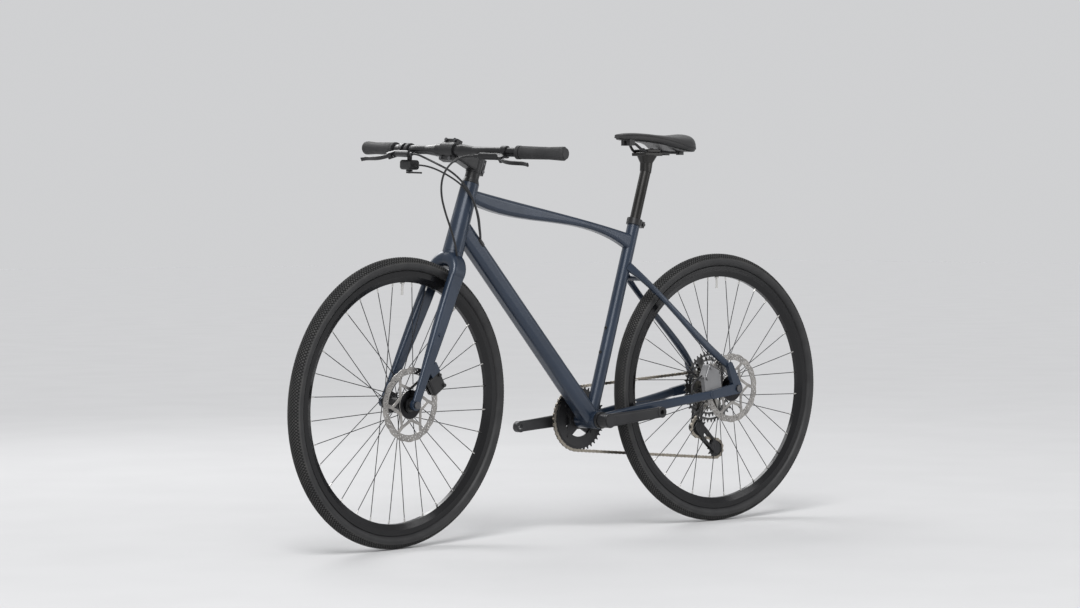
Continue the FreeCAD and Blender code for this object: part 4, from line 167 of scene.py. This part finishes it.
class Finish:
    """A material with short calls for the nodes that feed it."""

    def __init__(self, name, metallic=0.0, roughness=0.5, **sockets):
        self.material = bpy.data.materials.new(name)
        self.material.use_nodes = True
        self.tree = self.material.node_tree
        self.shader = self.tree.nodes["Principled BSDF"]
        self.place = self.tree.nodes.new("ShaderNodeTexCoord").outputs["Object"]
        self.put("Metallic", metallic)
        self.put("Roughness", roughness)
        for socket, value in sockets.items():
            self.put(socket.replace("_", " "), value)

    def feed(self, socket, value):
        if isinstance(value, bpy.types.NodeSocket):
            self.tree.links.new(value, socket)
        else:
            socket.default_value = value

    def put(self, socket, value):
        self.feed(self.shader.inputs[socket], value)

    def node(self, kind, inputs, **settings):
        made = self.tree.nodes.new("ShaderNode" + kind)
        for name, value in settings.items():
            setattr(made, name, value)
        for key, value in inputs.items():
            self.feed(made.inputs[key], value)
        return made

    def math(self, operation, first, second=0.0):
        return self.node("Math", {0: first, 1: second}, operation=operation).outputs[0]

    def noise(self, scale, detail=3.0, stretch=None):
        spot = self.place
        if stretch:
            spot = self.node("Mapping", {"Vector": spot, "Scale": stretch}).outputs[0]
        made = self.node("TexNoise", {"Vector": spot, "Scale": scale, "Detail": detail})
        return made.outputs[0]

    def range(self, value, low, high, start=0.0, end=1.0):
        inputs = {"Value": value, "From Min": start, "From Max": end, "To Min": low, "To Max": high}
        return self.node("MapRange", inputs).outputs[0]

    def mix(self, share, first, second):
        inputs = {0: share, 6: first, 7: second}
        return self.node("Mix", inputs, data_type="RGBA").outputs[2]

    def bump(self, height, strength, depth=0.001, before=None):
        inputs = {"Height": height, "Strength": strength, "Distance": depth}
        if before is not None:
            inputs["Normal"] = before
        return self.node("Bump", inputs).outputs[0]

    def rounded(self, radius):
        """Normal that rounds sharp edges over a short radius."""
        return self.node("Bevel", {"Radius": radius}, samples=EDGE_SAMPLES).outputs[0]

    def wheel_spot(self, matrix):
        """Place in a wheel's own axes, as separate X, Y and Z."""
        spot = matrix.translation
        turn = matrix.to_3x3().to_euler()
        inputs = {"Vector": self.place, "Location": spot, "Rotation": turn}
        local = self.node("Mapping", inputs, vector_type="TEXTURE").outputs[0]
        return self.node("SeparateXYZ", {0: local}).outputs

    def wheel_radius(self, matrix):
        x, _, z = self.wheel_spot(matrix)
        return self.math("SQRT", self.math("ADD", self.math("MULTIPLY", x, x), self.math("MULTIPLY", z, z)))


def rgb(red, green, blue):
    return (red, green, blue, 1.0)


def coated(name, dark, light, roughness, metallic=0.0, coat=0.0, grain=900.0, peel=0.03):
    """Painted or anodised surface: faint cloudiness, uneven gloss and a fine grain."""
    made = Finish(name, metallic, roughness)
    cloud = made.noise(9.0, 4.0)
    made.put("Base Color", made.mix(made.range(cloud, 0.0, 1.0, *CLOUD_SPAN), dark, light))
    made.put("Roughness", made.range(made.noise(38.0, 5.0), roughness * 0.86, roughness * 1.16, *MIDDLE_SPAN))
    made.put("Normal", made.bump(made.noise(grain, 2.0), peel, 0.001, made.rounded(EDGE_RADIUS)))
    made.put("Coat Weight", coat)
    made.put("Coat Roughness", roughness * 0.6)
    return made


def brushed(name, dark, light, roughness, stretch, metallic=1.0):
    """Bare metal with a fine drawn grain."""
    made = Finish(name, metallic, roughness)
    grain = made.noise(420.0, 4.0, stretch)
    made.put("Base Color", made.mix(made.range(grain, 0.0, 1.0, *MIDDLE_SPAN), dark, light))
    made.put("Roughness", made.range(made.noise(60.0), roughness * 0.8, roughness * 1.25, *MIDDLE_SPAN))
    made.put("Normal", made.bump(grain, 0.06))
    return made


def rubber(name, dark, light, roughness, grain, depth):
    made = Finish(name, 0.0, roughness)
    dust = made.noise(24.0, 6.0)
    made.put("Base Color", made.mix(made.range(dust, 0.0, 1.0, *RUBBER_SPAN), dark, light))
    made.put("Roughness", made.range(made.noise(70.0), roughness * 0.9, roughness * 1.1, *MIDDLE_SPAN))
    made.put("Normal", made.bump(made.noise(grain, 3.0), depth))
    return made


def by_radius(name, matrix, edge, inner, outer, roughness, metallic, softness=0.0006):
    """Metal whose colour changes at a radius from a wheel's axle."""
    made = Finish(name, metallic, roughness)
    share = made.range(made.wheel_radius(matrix), 0.0, 1.0, edge - softness, edge + softness)
    grain = made.noise(500.0, 4.0)
    shade = made.mix(share, inner, outer)
    speckle = made.range(grain, 0.82, 1.12, *MIDDLE_SPAN)
    tinted = made.node("VectorMath", {0: shade, 1: speckle}, operation="MULTIPLY")
    made.put("Base Color", tinted.outputs[0])
    made.put("Roughness", made.range(made.noise(80.0), roughness * 0.8, roughness * 1.2, *MIDDLE_SPAN))
    made.put("Normal", made.bump(grain, 0.05))
    return made


def disc_steel(name, matrix, carrier):
    """Turned steel with fine rings, and a dark carrier in the middle."""
    made = Finish(name, 1.0, 0.34)
    radius = made.wheel_radius(matrix)
    rings = made.math("SINE", made.math("MULTIPLY", radius, STEEL_RINGS))
    stain = made.range(made.noise(45.0, 5.0), 0.0, 1.0, *DUST_SPAN)
    steel = made.mix(stain, rgb(0.26, 0.25, 0.24), rgb(0.40, 0.385, 0.365))
    dark = made.range(radius, 1.0, 0.0, carrier - CARRIER_SOFTNESS, carrier + CARRIER_SOFTNESS)
    made.put("Base Color", made.mix(dark, steel, rgb(0.03, 0.03, 0.032)))
    made.put("Roughness", made.range(made.noise(120.0), 0.26, 0.42, *MIDDLE_SPAN))
    made.put("Normal", made.bump(rings, 0.05, 0.0004))
    return made


def tyre_rubber_painted_light(name, matrix):
    """Dark rubber: grooves darkened as painted shade, tread tops lighter as a painted highlight with dusty
    mottling, and faint moulded rings on the walls.
    """
    made = Finish(name, 0.0, 0.72)
    side = made.wheel_spot(matrix)[1]
    radius = made.wheel_radius(matrix)
    rise = made.math("SUBTRACT", radius, (TYRE_RADIUS - TYRE_WIDTH / 2) * MM)
    squares = made.math("ADD", made.math("MULTIPLY", rise, rise), made.math("MULTIPLY", side, side))
    skin = TYRE_WIDTH / 2 * MM
    # Share from the groove floor (0) to the block tops (1): the mask of the painted groove shade and the
    # painted top highlight
    lift = made.range(made.math("SQRT", squares), 0.0, 1.0, skin - TREAD_DEPTH * MM, skin - TREAD_EDGE)
    dust = made.range(made.noise(30.0, 6.0), 0.0, 1.0, *DUST_SPAN)
    wall = made.mix(dust, rgb(0.014, 0.014, 0.015), rgb(0.024, 0.024, 0.025))
    # Tread tops painted lighter than the walls as a painted highlight, mottled with dust
    top = made.mix(dust, rgb(0.036, 0.036, 0.037), rgb(0.060, 0.059, 0.057))
    # Near-black painted shade in the grooves and low on the blocks' sides, rising to the highlit tops
    tread = made.mix(lift, rgb(0.005, 0.005, 0.005), top)
    share = made.range(rise, 0.0, 1.0, *TREAD_BLEND)
    made.put("Base Color", made.mix(share, wall, tread))
    made.put("Roughness", made.range(share, 0.55, 0.8))
    rings = made.math("SINE", made.math("MULTIPLY", radius, WALL_RINGS))
    ring_normal = made.bump(rings, 0.08, 0.0005)
    made.put("Normal", made.bump(made.noise(1100.0, 3.0), 0.12, 0.001, ring_normal))
    return made


NAVY = coated("navy_paint", rgb(0.012, 0.023, 0.044), rgb(0.016, 0.029, 0.054), 0.34, 0.25, 0.4)
BLACK_ALLOY = coated("black_alloy", rgb(0.012, 0.012, 0.013), rgb(0.018, 0.018, 0.019), 0.38, 0.2, 0.1)
BAR_BLACK = coated("bar_black", rgb(0.010, 0.010, 0.011), rgb(0.016, 0.016, 0.017), 0.30, 0.3, 0.2)
POST_BLACK = coated("post_black", rgb(0.030, 0.029, 0.028), rgb(0.042, 0.041, 0.040), 0.33, 0.8, 0.0)
CRANK_GREY = coated("crank_grey", rgb(0.028, 0.028, 0.030), rgb(0.040, 0.040, 0.042), 0.42, 0.5, 0.0)
BRAKE_BLACK = coated("brake_black", rgb(0.013, 0.013, 0.014), rgb(0.021, 0.021, 0.022), 0.35, 0.3, 0.1)
PLASTIC = coated(
    "black_plastic", rgb(0.012, 0.012, 0.013), rgb(0.019, 0.019, 0.020), 0.55, 0.0, 0.0, 1500.0, 0.12,
)
CALIPER = coated("caliper_grey", rgb(0.20, 0.20, 0.205), rgb(0.27, 0.27, 0.275), 0.40, 0.9, 0.0)
PAD = coated("pad_dark", rgb(0.04, 0.035, 0.03), rgb(0.07, 0.06, 0.05), 0.7, 0.2, 0.0, 600.0, 0.3)
DARK_STEEL = brushed("dark_steel", rgb(0.10, 0.10, 0.105), rgb(0.16, 0.16, 0.165), 0.36, (1, 6, 1))
CHAIN_STEEL = brushed("chain_steel", rgb(0.26, 0.23, 0.19), rgb(0.40, 0.37, 0.32), 0.34, (3, 3, 3))
GRIP = rubber("grip_rubber", rgb(0.018, 0.018, 0.019), rgb(0.030, 0.030, 0.031), 0.62, 1400.0, 0.25)
HOSE = rubber("hose_black", rgb(0.010, 0.010, 0.011), rgb(0.017, 0.017, 0.018), 0.42, 1600.0, 0.05)

PAINTED = {
    NAVY: (
        "head_tube", "top_tube", "down_tube", "seat_tube", "bottom_bracket_shell", "chainstays", "seatstays",
        "dropouts", "fork",
    ),
    BLACK_ALLOY: (
        "headset_spacers", "stem", "stem_faceplate", "seat_clamp", "bottom_bracket_cups", "rear_hub",
        "front_hub", "frame_fittings", "saddle_base",
    ),
    BAR_BLACK: ("handlebar",),
    POST_BLACK: ("seatpost",),
    CRANK_GREY: ("left_crank", "right_crank", "derailleur_body", "derailleur_cage"),
    BRAKE_BLACK: (
        "brake_perches", "left_brake_lever", "right_brake_lever", "chainring", "front_brake_caliper",
    ),
    PLASTIC: ("shifter_body", "shift_thumb_lever", "shift_release_lever", "guide_pulley", "tension_pulley"),
    CALIPER: ("rear_brake_caliper",),
    PAD: ("front_pad_outer", "front_pad_inner", "rear_pad_outer", "rear_pad_inner"),
    DARK_STEEL: ("stem_hardware", "rear_thru_axle", "front_thru_axle", "headset_bearings"),
    CHAIN_STEEL: ("chain",),
    GRIP: ("left_grip", "right_grip"),
    HOSE: ("rear_cables", "front_brake_hose", "rear_brake_hose", "shift_cable"),
}


def wear(piece, made):
    piece.data.materials.clear()
    piece.data.materials.append(made.material)


for made, names in PAINTED.items():
    for name in names:
        wear(nodes[name], made)

SPOKE_DARK = rgb(0.045, 0.045, 0.048)
NIPPLE_SILVER = rgb(0.62, 0.61, 0.59)
RIM_BLACK = rgb(0.010, 0.010, 0.011)
SPROCKET_BRIGHT = rgb(0.36, 0.35, 0.33)
SPROCKET_DARK = rgb(0.12, 0.12, 0.12)
for end, matrix in WHEELS.items():
    wear(nodes[end + "_spokes"], by_radius(
        end + "_spoke_steel", matrix, NIPPLE_START, SPOKE_DARK, NIPPLE_SILVER, 0.32, 0.9,
    ))
    wear(nodes[end + "_rim"], by_radius(
        end + "_rim_black", matrix, RIM_START, NIPPLE_SILVER, RIM_BLACK, 0.16, 0.35,
    ))
    wear(nodes[end + "_rotor"], disc_steel(end + "_rotor_steel", matrix, CARRIER_RADIUS))
wear(nodes["cassette"], by_radius(
    "cassette_steel", WHEELS["rear"], CASSETTE_EDGE, SPROCKET_BRIGHT, SPROCKET_DARK, 0.32, 1.0,
    CASSETTE_SOFTNESS,
))


# Mesh helpers


def new_piece(name, points, faces, matrix=None, smooth=True):
    mesh = bpy.data.meshes.new(name)
    mesh.from_pydata([tuple(point) for point in points], [], faces)
    mesh.update()
    if matrix is not None:
        mesh.transform(matrix)
    mesh.validate()
    piece = bpy.data.objects.new(name, mesh)
    scene.collection.objects.link(piece)
    if smooth:
        mesh.polygons.foreach_set("use_smooth", [True] * len(mesh.polygons))
    return piece


def grid_faces(rows, columns, closed_rows):
    """Quads of a grid whose columns close on themselves, and whose rows may."""
    faces = []
    for row in range(rows if closed_rows else rows - 1):
        following = (row + 1) % rows
        for column in range(columns):
            beside = (column + 1) % columns
            faces.append((
                row * columns + column, following * columns + column,
                following * columns + beside, row * columns + beside,
            ))
    return faces


# Tyres with their tread


def tyre_profile():
    """Section of the casing as radius and side, from one bead over the crown to the other."""
    crown = TYRE_RADIUS - TYRE_WIDTH / 2
    half = TYRE_WIDTH / 2
    rise = crown - NECK_RADIUS
    swell = half - BEAD_HALF
    side_arc = (rise ** 2 + swell ** 2) / (2 * swell)
    spread = math.atan2(rise, side_arc - swell)
    side = [(BEAD_RADIUS, BEAD_HALF)]
    for step in range(WALL_STEPS):
        turn = spread * (1 - step / WALL_STEPS)
        side.append((crown - side_arc * math.sin(turn), half - side_arc + side_arc * math.cos(turn)))
    for step in range(CROWN_STEPS + 1):
        turn = math.pi / 2 * step / CROWN_STEPS
        sink = TREAD_DEPTH * min(1.0, max(0.0, (turn - TREAD_START) / TREAD_FADE))
        side.append((crown + (half - sink) * math.sin(turn), (half - sink) * math.cos(turn)))
    return side + [(radius, -place) for radius, place in reversed(side[:-1])]


# Rows of tread blocks: angle from the crown in degrees, blocks round the tyre, length and width, lean of
# the block, and shift along the row in steps
TREAD_ROWS = (
    (0.0, 280, 4.6, 2.6, 0.0, 0.0),
    (11.0, 280, 4.6, 2.6, 0.35, 0.5),
    (22.0, 280, 4.6, 2.6, 0.35, 0.0),
    (33.0, 280, 4.6, 2.8, 0.35, 0.5),
    (46.0, 280, 4.4, 5.0, 0.0, 0.0),
    (62.0, 280, 3.4, 5.0, 0.0, 0.5),
)


def tread_block(points, faces, angle, tilt, length, width, lean):
    """A low block standing on the casing, its top a little smaller than its foot."""
    crown = TYRE_RADIUS - TYRE_WIDTH / 2
    half = TYRE_WIDTH / 2
    base = len(points)
    outline = ((-1, -1), (1, -1), (1, 1), (-1, 1))
    for level, size in ((half - TREAD_DEPTH - TREAD_FOOT, 1.0), (half - TREAD_SKIN, TREAD_TOP_SHARE)):
        for along, across in outline:
            turn = tilt + across * width * size / 2 / half
            shift = along * length * size / 2 + lean * across * width * size / 2
            radius = crown + level * math.cos(turn)
            swing = angle + shift / TYRE_RADIUS
            points.append((radius * math.cos(swing), level * math.sin(turn), radius * math.sin(swing)))
    faces.append((base + 4, base + 5, base + 6, base + 7))
    faces.append((base + 3, base + 2, base + 1, base))
    for edge in range(4):
        beside = (edge + 1) % 4
        faces.append((base + edge, base + beside, base + 4 + beside, base + 4 + edge))


def make_tyre(end, matrix):
    """Casing of revolution with separate tread blocks, in place of the plain tyre."""
    profile = tyre_profile()
    points = []
    for step in range(TYRE_TURNS):
        angle = 2 * math.pi * step / TYRE_TURNS
        for radius, side in profile:
            points.append((radius * math.cos(angle), side, radius * math.sin(angle)))
    scale = Matrix.Scale(MM, 4)
    finish = tyre_rubber_painted_light(end + "_tyre_rubber_painted_light", matrix)
    faces = grid_faces(TYRE_TURNS, len(profile), True)
    casing = new_piece(end + "_tyre_casing", points, faces, matrix @ scale)
    points = []
    faces = []
    for tilt, count, length, width, lean, shift in TREAD_ROWS:
        for side in ((1, -1) if tilt else (1,)):
            for number in range(count):
                angle = 2 * math.pi * (number + shift) / count
                tread_block(points, faces, angle, side * math.radians(tilt), length, width, side * lean)
    tread = new_piece(end + "_tyre_tread", points, faces, matrix @ scale, False)
    for piece in (casing, tread):
        wear(piece, finish)
        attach(piece, end + "_wheel")
    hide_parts(end + "_tyre")


for end, matrix in WHEELS.items():
    make_tyre(end, matrix)


# Saddle


def row_slope(index, column):
    """Slope of one of the saddle's shares at a row, from the rows beside it."""
    before = SADDLE_SHARES[max(index - 1, 0)]
    after = SADDLE_SHARES[min(index + 1, len(SADDLE_SHARES) - 1)]
    return (after[column] - before[column]) / (after[0] - before[0])


def smooth_row(place):
    """Saddle shares at a place from nose to tail, on a smooth curve through the rows."""
    rows = SADDLE_SHARES
    number = 0
    while number < len(rows) - 2 and place > rows[number + 1][0]:
        number += 1
    low, high = rows[number], rows[number + 1]
    run = high[0] - low[0]
    share = (place - low[0]) / run
    square = share * share
    cube = square * share
    values = []
    for column in range(1, len(low)):
        start = run * row_slope(number, column)
        end = run * row_slope(number + 1, column)
        values.append(
            (2 * cube - 3 * square + 1) * low[column] + (cube - 2 * square + share) * start
            + (3 * square - 2 * cube) * high[column] + (cube - square) * end
        )
    return values


def skirt_point(half, edge, floor, share):
    """Side and height on the saddle's skirt, at a share of the way down."""
    inset = SADDLE_INSET * share ** 2 - SADDLE_BULGE * math.sin(math.pi * share)
    return half - inset, edge - SADDLE_SEAM - (edge - SADDLE_SEAM - floor) * share


def saddle_section(place):
    """Closed section of the saddle: crowned top, rolled edge, drawn-in skirt and flat underside."""
    width, crown, side, under = smooth_row(place)
    half = SADDLE_HALF_WIDTH * width
    base = SADDLE_BASE[2]
    top = base + SADDLE_TOP * crown
    edge = base + SADDLE_TOP - SADDLE_SIDE_DROP * side
    floor = min(base + SADDLE_TOP - SADDLE_SIDE_DROP * under - SADDLE_SHELL, edge - SADDLE_SHELL)
    points = []
    for step in range(SADDLE_TOP_STEPS + 1):
        turn = math.pi * step / SADDLE_TOP_STEPS
        lift = math.sin(turn) ** SADDLE_CROWN_POWER
        points.append((half * math.cos(turn), edge + (top - edge) * lift))
    points.insert(0, (half - SADDLE_SEAM, edge - SADDLE_SEAM))
    points.append((-half + SADDLE_SEAM, edge - SADDLE_SEAM))
    shares = [step / SADDLE_SKIRT_STEPS for step in range(1, SADDLE_SKIRT_STEPS + 1)]
    skirt = [skirt_point(half, edge, floor, share) for share in shares]
    points += [(-side, height) for side, height in skirt]
    points.append((0.0, floor))
    points += reversed(skirt)
    return points


def make_saddle():
    """Cover drawn through the sections from nose to tail, with rounded ends."""
    length = SADDLE_FRONT + SADDLE_REAR
    points = []
    for number in range(SADDLE_STATIONS + 1):
        place = (1 - math.cos(math.pi * number / SADDLE_STATIONS)) / 2
        x = SADDLE_BASE[0] + SADDLE_FRONT - length * place
        section = saddle_section(place)
        points += [(x * MM, y * MM, z * MM) for y, z in section]
    columns = len(saddle_section(0.0))
    faces = grid_faces(SADDLE_STATIONS + 1, columns, False)
    faces.append(tuple(range(columns)))
    faces.append(tuple(reversed(range(SADDLE_STATIONS * columns, (SADDLE_STATIONS + 1) * columns))))
    piece = new_piece("saddle_cover", points, faces)
    soften = piece.modifiers.new("round_ends", "BEVEL")
    soften.width = SADDLE_ROUNDING * MM
    soften.segments = ROUNDING_STEPS
    soften.limit_method = "ANGLE"
    soften.angle_limit = math.radians(SADDLE_EDGE_ANGLE)
    return piece


def saddle_finish():
    """Fine-grained synthetic leather with a soft sheen."""
    made = Finish("saddle_leather", 0.0, 0.55)
    cells = made.node("TexVoronoi", {"Vector": made.place, "Scale": 900.0}, feature="DISTANCE_TO_EDGE")
    wear_share = made.range(made.noise(20.0, 5.0), 0.0, 1.0, *DUST_SPAN)
    made.put("Base Color", made.mix(wear_share, rgb(0.014, 0.014, 0.015), rgb(0.024, 0.023, 0.023)))
    made.put("Roughness", made.range(made.noise(55.0), 0.46, 0.62, *MIDDLE_SPAN))
    made.put("Normal", made.bump(cells.outputs[0], 0.18, 0.0006))
    made.put("Sheen Weight", 0.15)
    return made


saddle = make_saddle()
wear(saddle, saddle_finish())
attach(saddle, "seat")
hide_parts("saddle")


# Hoses and cable at the bar


def route_curve(name, route, radius, matrix=None):
    """Smooth line with the route's points as its control points."""
    data = bpy.data.curves.new(name, "CURVE")
    data.dimensions = "3D"
    data.resolution_u = LINE_STEPS
    spline = data.splines.new("NURBS")
    spline.points.add(len(route) - 1)
    for point, spot in zip(spline.points, route):
        place = Vector(spot) * MM
        if matrix is not None:
            place = matrix @ place
        point.co = (*place, 1.0)
    spline.order_u = 3
    spline.use_endpoint_u = True
    data.bevel_depth = radius * MM
    data.bevel_resolution = LINE_SIDE_STEPS
    data.use_fill_caps = True
    piece = bpy.data.objects.new(name, data)
    scene.collection.objects.link(piece)
    return piece


def line_points(curve):
    """Points along a curve, read with its thickness set aside."""
    depth = curve.data.bevel_depth
    curve.data.bevel_depth = 0.0
    bpy.context.view_layer.update()
    mesh = bpy.data.meshes.new_from_object(curve.evaluated_get(bpy.context.evaluated_depsgraph_get()))
    points = [vertex.co.copy() for vertex in mesh.vertices]
    bpy.data.meshes.remove(mesh)
    curve.data.bevel_depth = depth
    bpy.context.view_layer.update()
    return points


def make_line(name, node, route, radius, turned):
    """A hose or cable; one on the front end is turned with the steering and fixed to it, one that runs from
    the bar to the frame becomes a plain mesh that stays where it is drawn.
    """
    curve = route_curve(name, route, radius, STEERED if turned else None)
    path = line_points(curve)
    piece = curve
    if not turned:
        mesh = bpy.data.meshes.new_from_object(curve.evaluated_get(bpy.context.evaluated_depsgraph_get()))
        bpy.data.objects.remove(curve)
        mesh.polygons.foreach_set("use_smooth", [True] * len(mesh.polygons))
        piece = bpy.data.objects.new(name, mesh)
        scene.collection.objects.link(piece)
    wear(piece, HOSE)
    if turned:
        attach(piece, "steering")
    else:
        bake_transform(piece)
    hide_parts(node)


make_line("front_hose", "front_brake_hose", FRONT_HOSE, HOSE_RADIUS, True)
make_line("rear_hose", "rear_brake_hose", REAR_HOSE, HOSE_RADIUS, False)
make_line("gear_cable", "shift_cable", GEAR_CABLE, CABLE_RADIUS, False)


# Chain

# Half the width of the stretch round the pulleys, in metres
CAGE_REACH = 0.033
# Where the stretches beside it begin and end, as lengths from their pulley's middle
LOWER_BEND = (0.300, 0.022)
# How far below the upper pulley the lower stretch lies, and half the width of the stretch to the sprocket
LOWER_GAP = 0.036
FEED_WIDTH = 0.110


def segment_distance(spot, first, second):
    """Distance from a point to the straight line between two others."""
    run = second - first
    share = min(1.0, max(0.0, (spot - first).dot(run) / run.dot(run)))
    return (spot - first - run * share).length


def chain_stretch(mesh, name, numbers):
    """A piece with some of the chain's faces."""
    used = {}
    faces = []
    for number in numbers:
        corners = mesh.polygons[number].vertices
        faces.append(tuple(used.setdefault(corner, len(used)) for corner in corners))
    points = [mesh.vertices[corner].co for corner in used]
    piece = new_piece(name, points, faces, nodes["chain"].matrix_world)
    wear(piece, CHAIN_STEEL)
    return piece


def make_chain():
    """The chain in four stretches: the one on the pulleys swings with the cage, the rest of the run stays
    with the frame, and those beside the cage are left as plain meshes.
    """
    mesh = nodes["chain"].data
    world = nodes["chain"].matrix_world
    centres = ("guide_pulley_spin", "tension_pulley_spin", "cassette_spin")
    guide, tension, sprocket = (Vector(joints[name]["pos_m"]) for name in centres)
    line = sum(((world @ face.center).y for face in mesh.polygons), 0.0) / len(mesh.polygons)
    for spot in (guide, tension, sprocket):
        spot.y = line
    sorted_faces = {"run": [], "cage": [], "lower": [], "feed": []}
    for face in mesh.polygons:
        spot = world @ face.center
        spot.y = line
        kind = "run"
        if segment_distance(spot, guide, tension) < CAGE_REACH:
            kind = "cage"
        elif spot.z < guide.z - LOWER_GAP and spot.x < tension.x + LOWER_BEND[0]:
            kind = "lower"
        elif spot.z < sprocket.z and abs(spot.x - guide.x) < FEED_WIDTH:
            kind = "feed"
        sorted_faces[kind].append(face.index)
    pieces = {kind: chain_stretch(mesh, "chain_" + kind, numbers) for kind, numbers in sorted_faces.items()}
    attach(pieces["run"], "frame")
    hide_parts("chain")
    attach(pieces["cage"], "derailleur_cage")
    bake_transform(pieces["lower"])
    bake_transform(pieces["feed"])


make_chain()


# Floor, light and camera

FLOOR_HALF = 40.0
FLOOR_TONES = (rgb(0.60, 0.60, 0.605), rgb(0.62, 0.62, 0.625))
BACKDROP = rgb(0.629, 0.633, 0.643)
SURROUNDINGS = rgb(0.97, 0.98, 1.0)
SURROUNDINGS_STRENGTH = 0.5
# Suns: name, direction, strength and spread in degrees
SUNS = (
    ("key_sun", (-0.55, -0.55, -1.0), 1.6, 25.0),
    ("rim_sun", (0.25, 0.9, -0.8), 0.7, 30.0),
)
# Area lights: name, place, aim, width and height in metres, and power in watts
LIGHTS = (
    ("key", (2.9, 2.6, 2.6), (0.0, 0.0, 0.6), 2.4, 1.4, 45.0),
    ("fill", (-3.2, 3.6, 1.8), (-0.3, 0.0, 0.5), 1.2, 2.4, 25.0),
    ("rim", (0.2, -3.2, 2.6), (0.0, 0.0, 0.6), 3.0, 1.0, 30.0),
)
CAMERA_SPOT = (4.5540, 5.4322, 0.7732)
CAMERA_AIM = (0.07957, 0.0, 0.57889)
CAMERA_ROLL = -0.09
CAMERA_LENS = 94.33
CAMERA_SENSOR = 36.0


def make_floor():
    half = FLOOR_HALF
    corners = [(-half, -half, 0.0), (half, -half, 0.0), (half, half, 0.0), (-half, half, 0.0)]
    floor = new_piece("floor", corners, [(0, 1, 2, 3)], smooth=False)
    made = Finish("floor_pale", 0.0, 0.9, Specular_IOR_Level=0.0)
    mottle = made.range(made.noise(3.0, 4.0), 0.0, 1.0, *MIDDLE_SPAN)
    made.put("Base Color", made.mix(mottle, *FLOOR_TONES))
    wear(floor, made)


def add_light(name, spot, aim, width, height, power):
    data = bpy.data.lights.new(name, "AREA")
    data.shape = "RECTANGLE"
    data.size = width
    data.size_y = height
    data.energy = power
    light = bpy.data.objects.new(name, data)
    light.location = spot
    light.rotation_euler = (Vector(aim) - Vector(spot)).to_track_quat("-Z", "Y").to_euler()
    scene.collection.objects.link(light)


def add_sun(name, aim, strength, spread):
    """Even light over the whole floor, with soft shadows."""
    data = bpy.data.lights.new(name, "SUN")
    data.energy = strength
    data.angle = math.radians(spread)
    light = bpy.data.objects.new(name, data)
    light.rotation_euler = Vector(aim).to_track_quat("-Z", "Y").to_euler()
    scene.collection.objects.link(light)


def make_world():
    """Even white surroundings, shown to the camera in the floor's own tone."""
    world = bpy.data.worlds.new("studio")
    world.use_nodes = True
    tree = world.node_tree
    even = tree.nodes["Background"]
    even.inputs["Color"].default_value = SURROUNDINGS
    even.inputs["Strength"].default_value = SURROUNDINGS_STRENGTH
    shown = tree.nodes.new("ShaderNodeBackground")
    shown.inputs["Color"].default_value = BACKDROP
    seen = tree.nodes.new("ShaderNodeLightPath").outputs["Is Camera Ray"]
    blend = tree.nodes.new("ShaderNodeMixShader")
    tree.links.new(seen, blend.inputs[0])
    tree.links.new(even.outputs[0], blend.inputs[1])
    tree.links.new(shown.outputs[0], blend.inputs[2])
    tree.links.new(blend.outputs[0], tree.nodes["World Output"].inputs["Surface"])
    scene.world = world


make_floor()
make_world()
for sun in SUNS:
    add_sun(*sun)
for light in LIGHTS:
    add_light(*light)

camera_data = bpy.data.cameras.new("camera")
camera_data.sensor_width = CAMERA_SENSOR
camera_data.lens = CAMERA_LENS
camera = bpy.data.objects.new("camera", camera_data)
camera.location = CAMERA_SPOT
look = Vector(CAMERA_AIM) - camera.location
roll = Matrix.Rotation(math.radians(CAMERA_ROLL), 3, "Z")
camera.rotation_euler = (look.to_track_quat("-Z", "Y").to_matrix() @ roll).to_euler()
scene.collection.objects.link(camera)
scene.camera = camera
scene.view_settings.view_transform = "Standard"

bpy.context.view_layer.update()
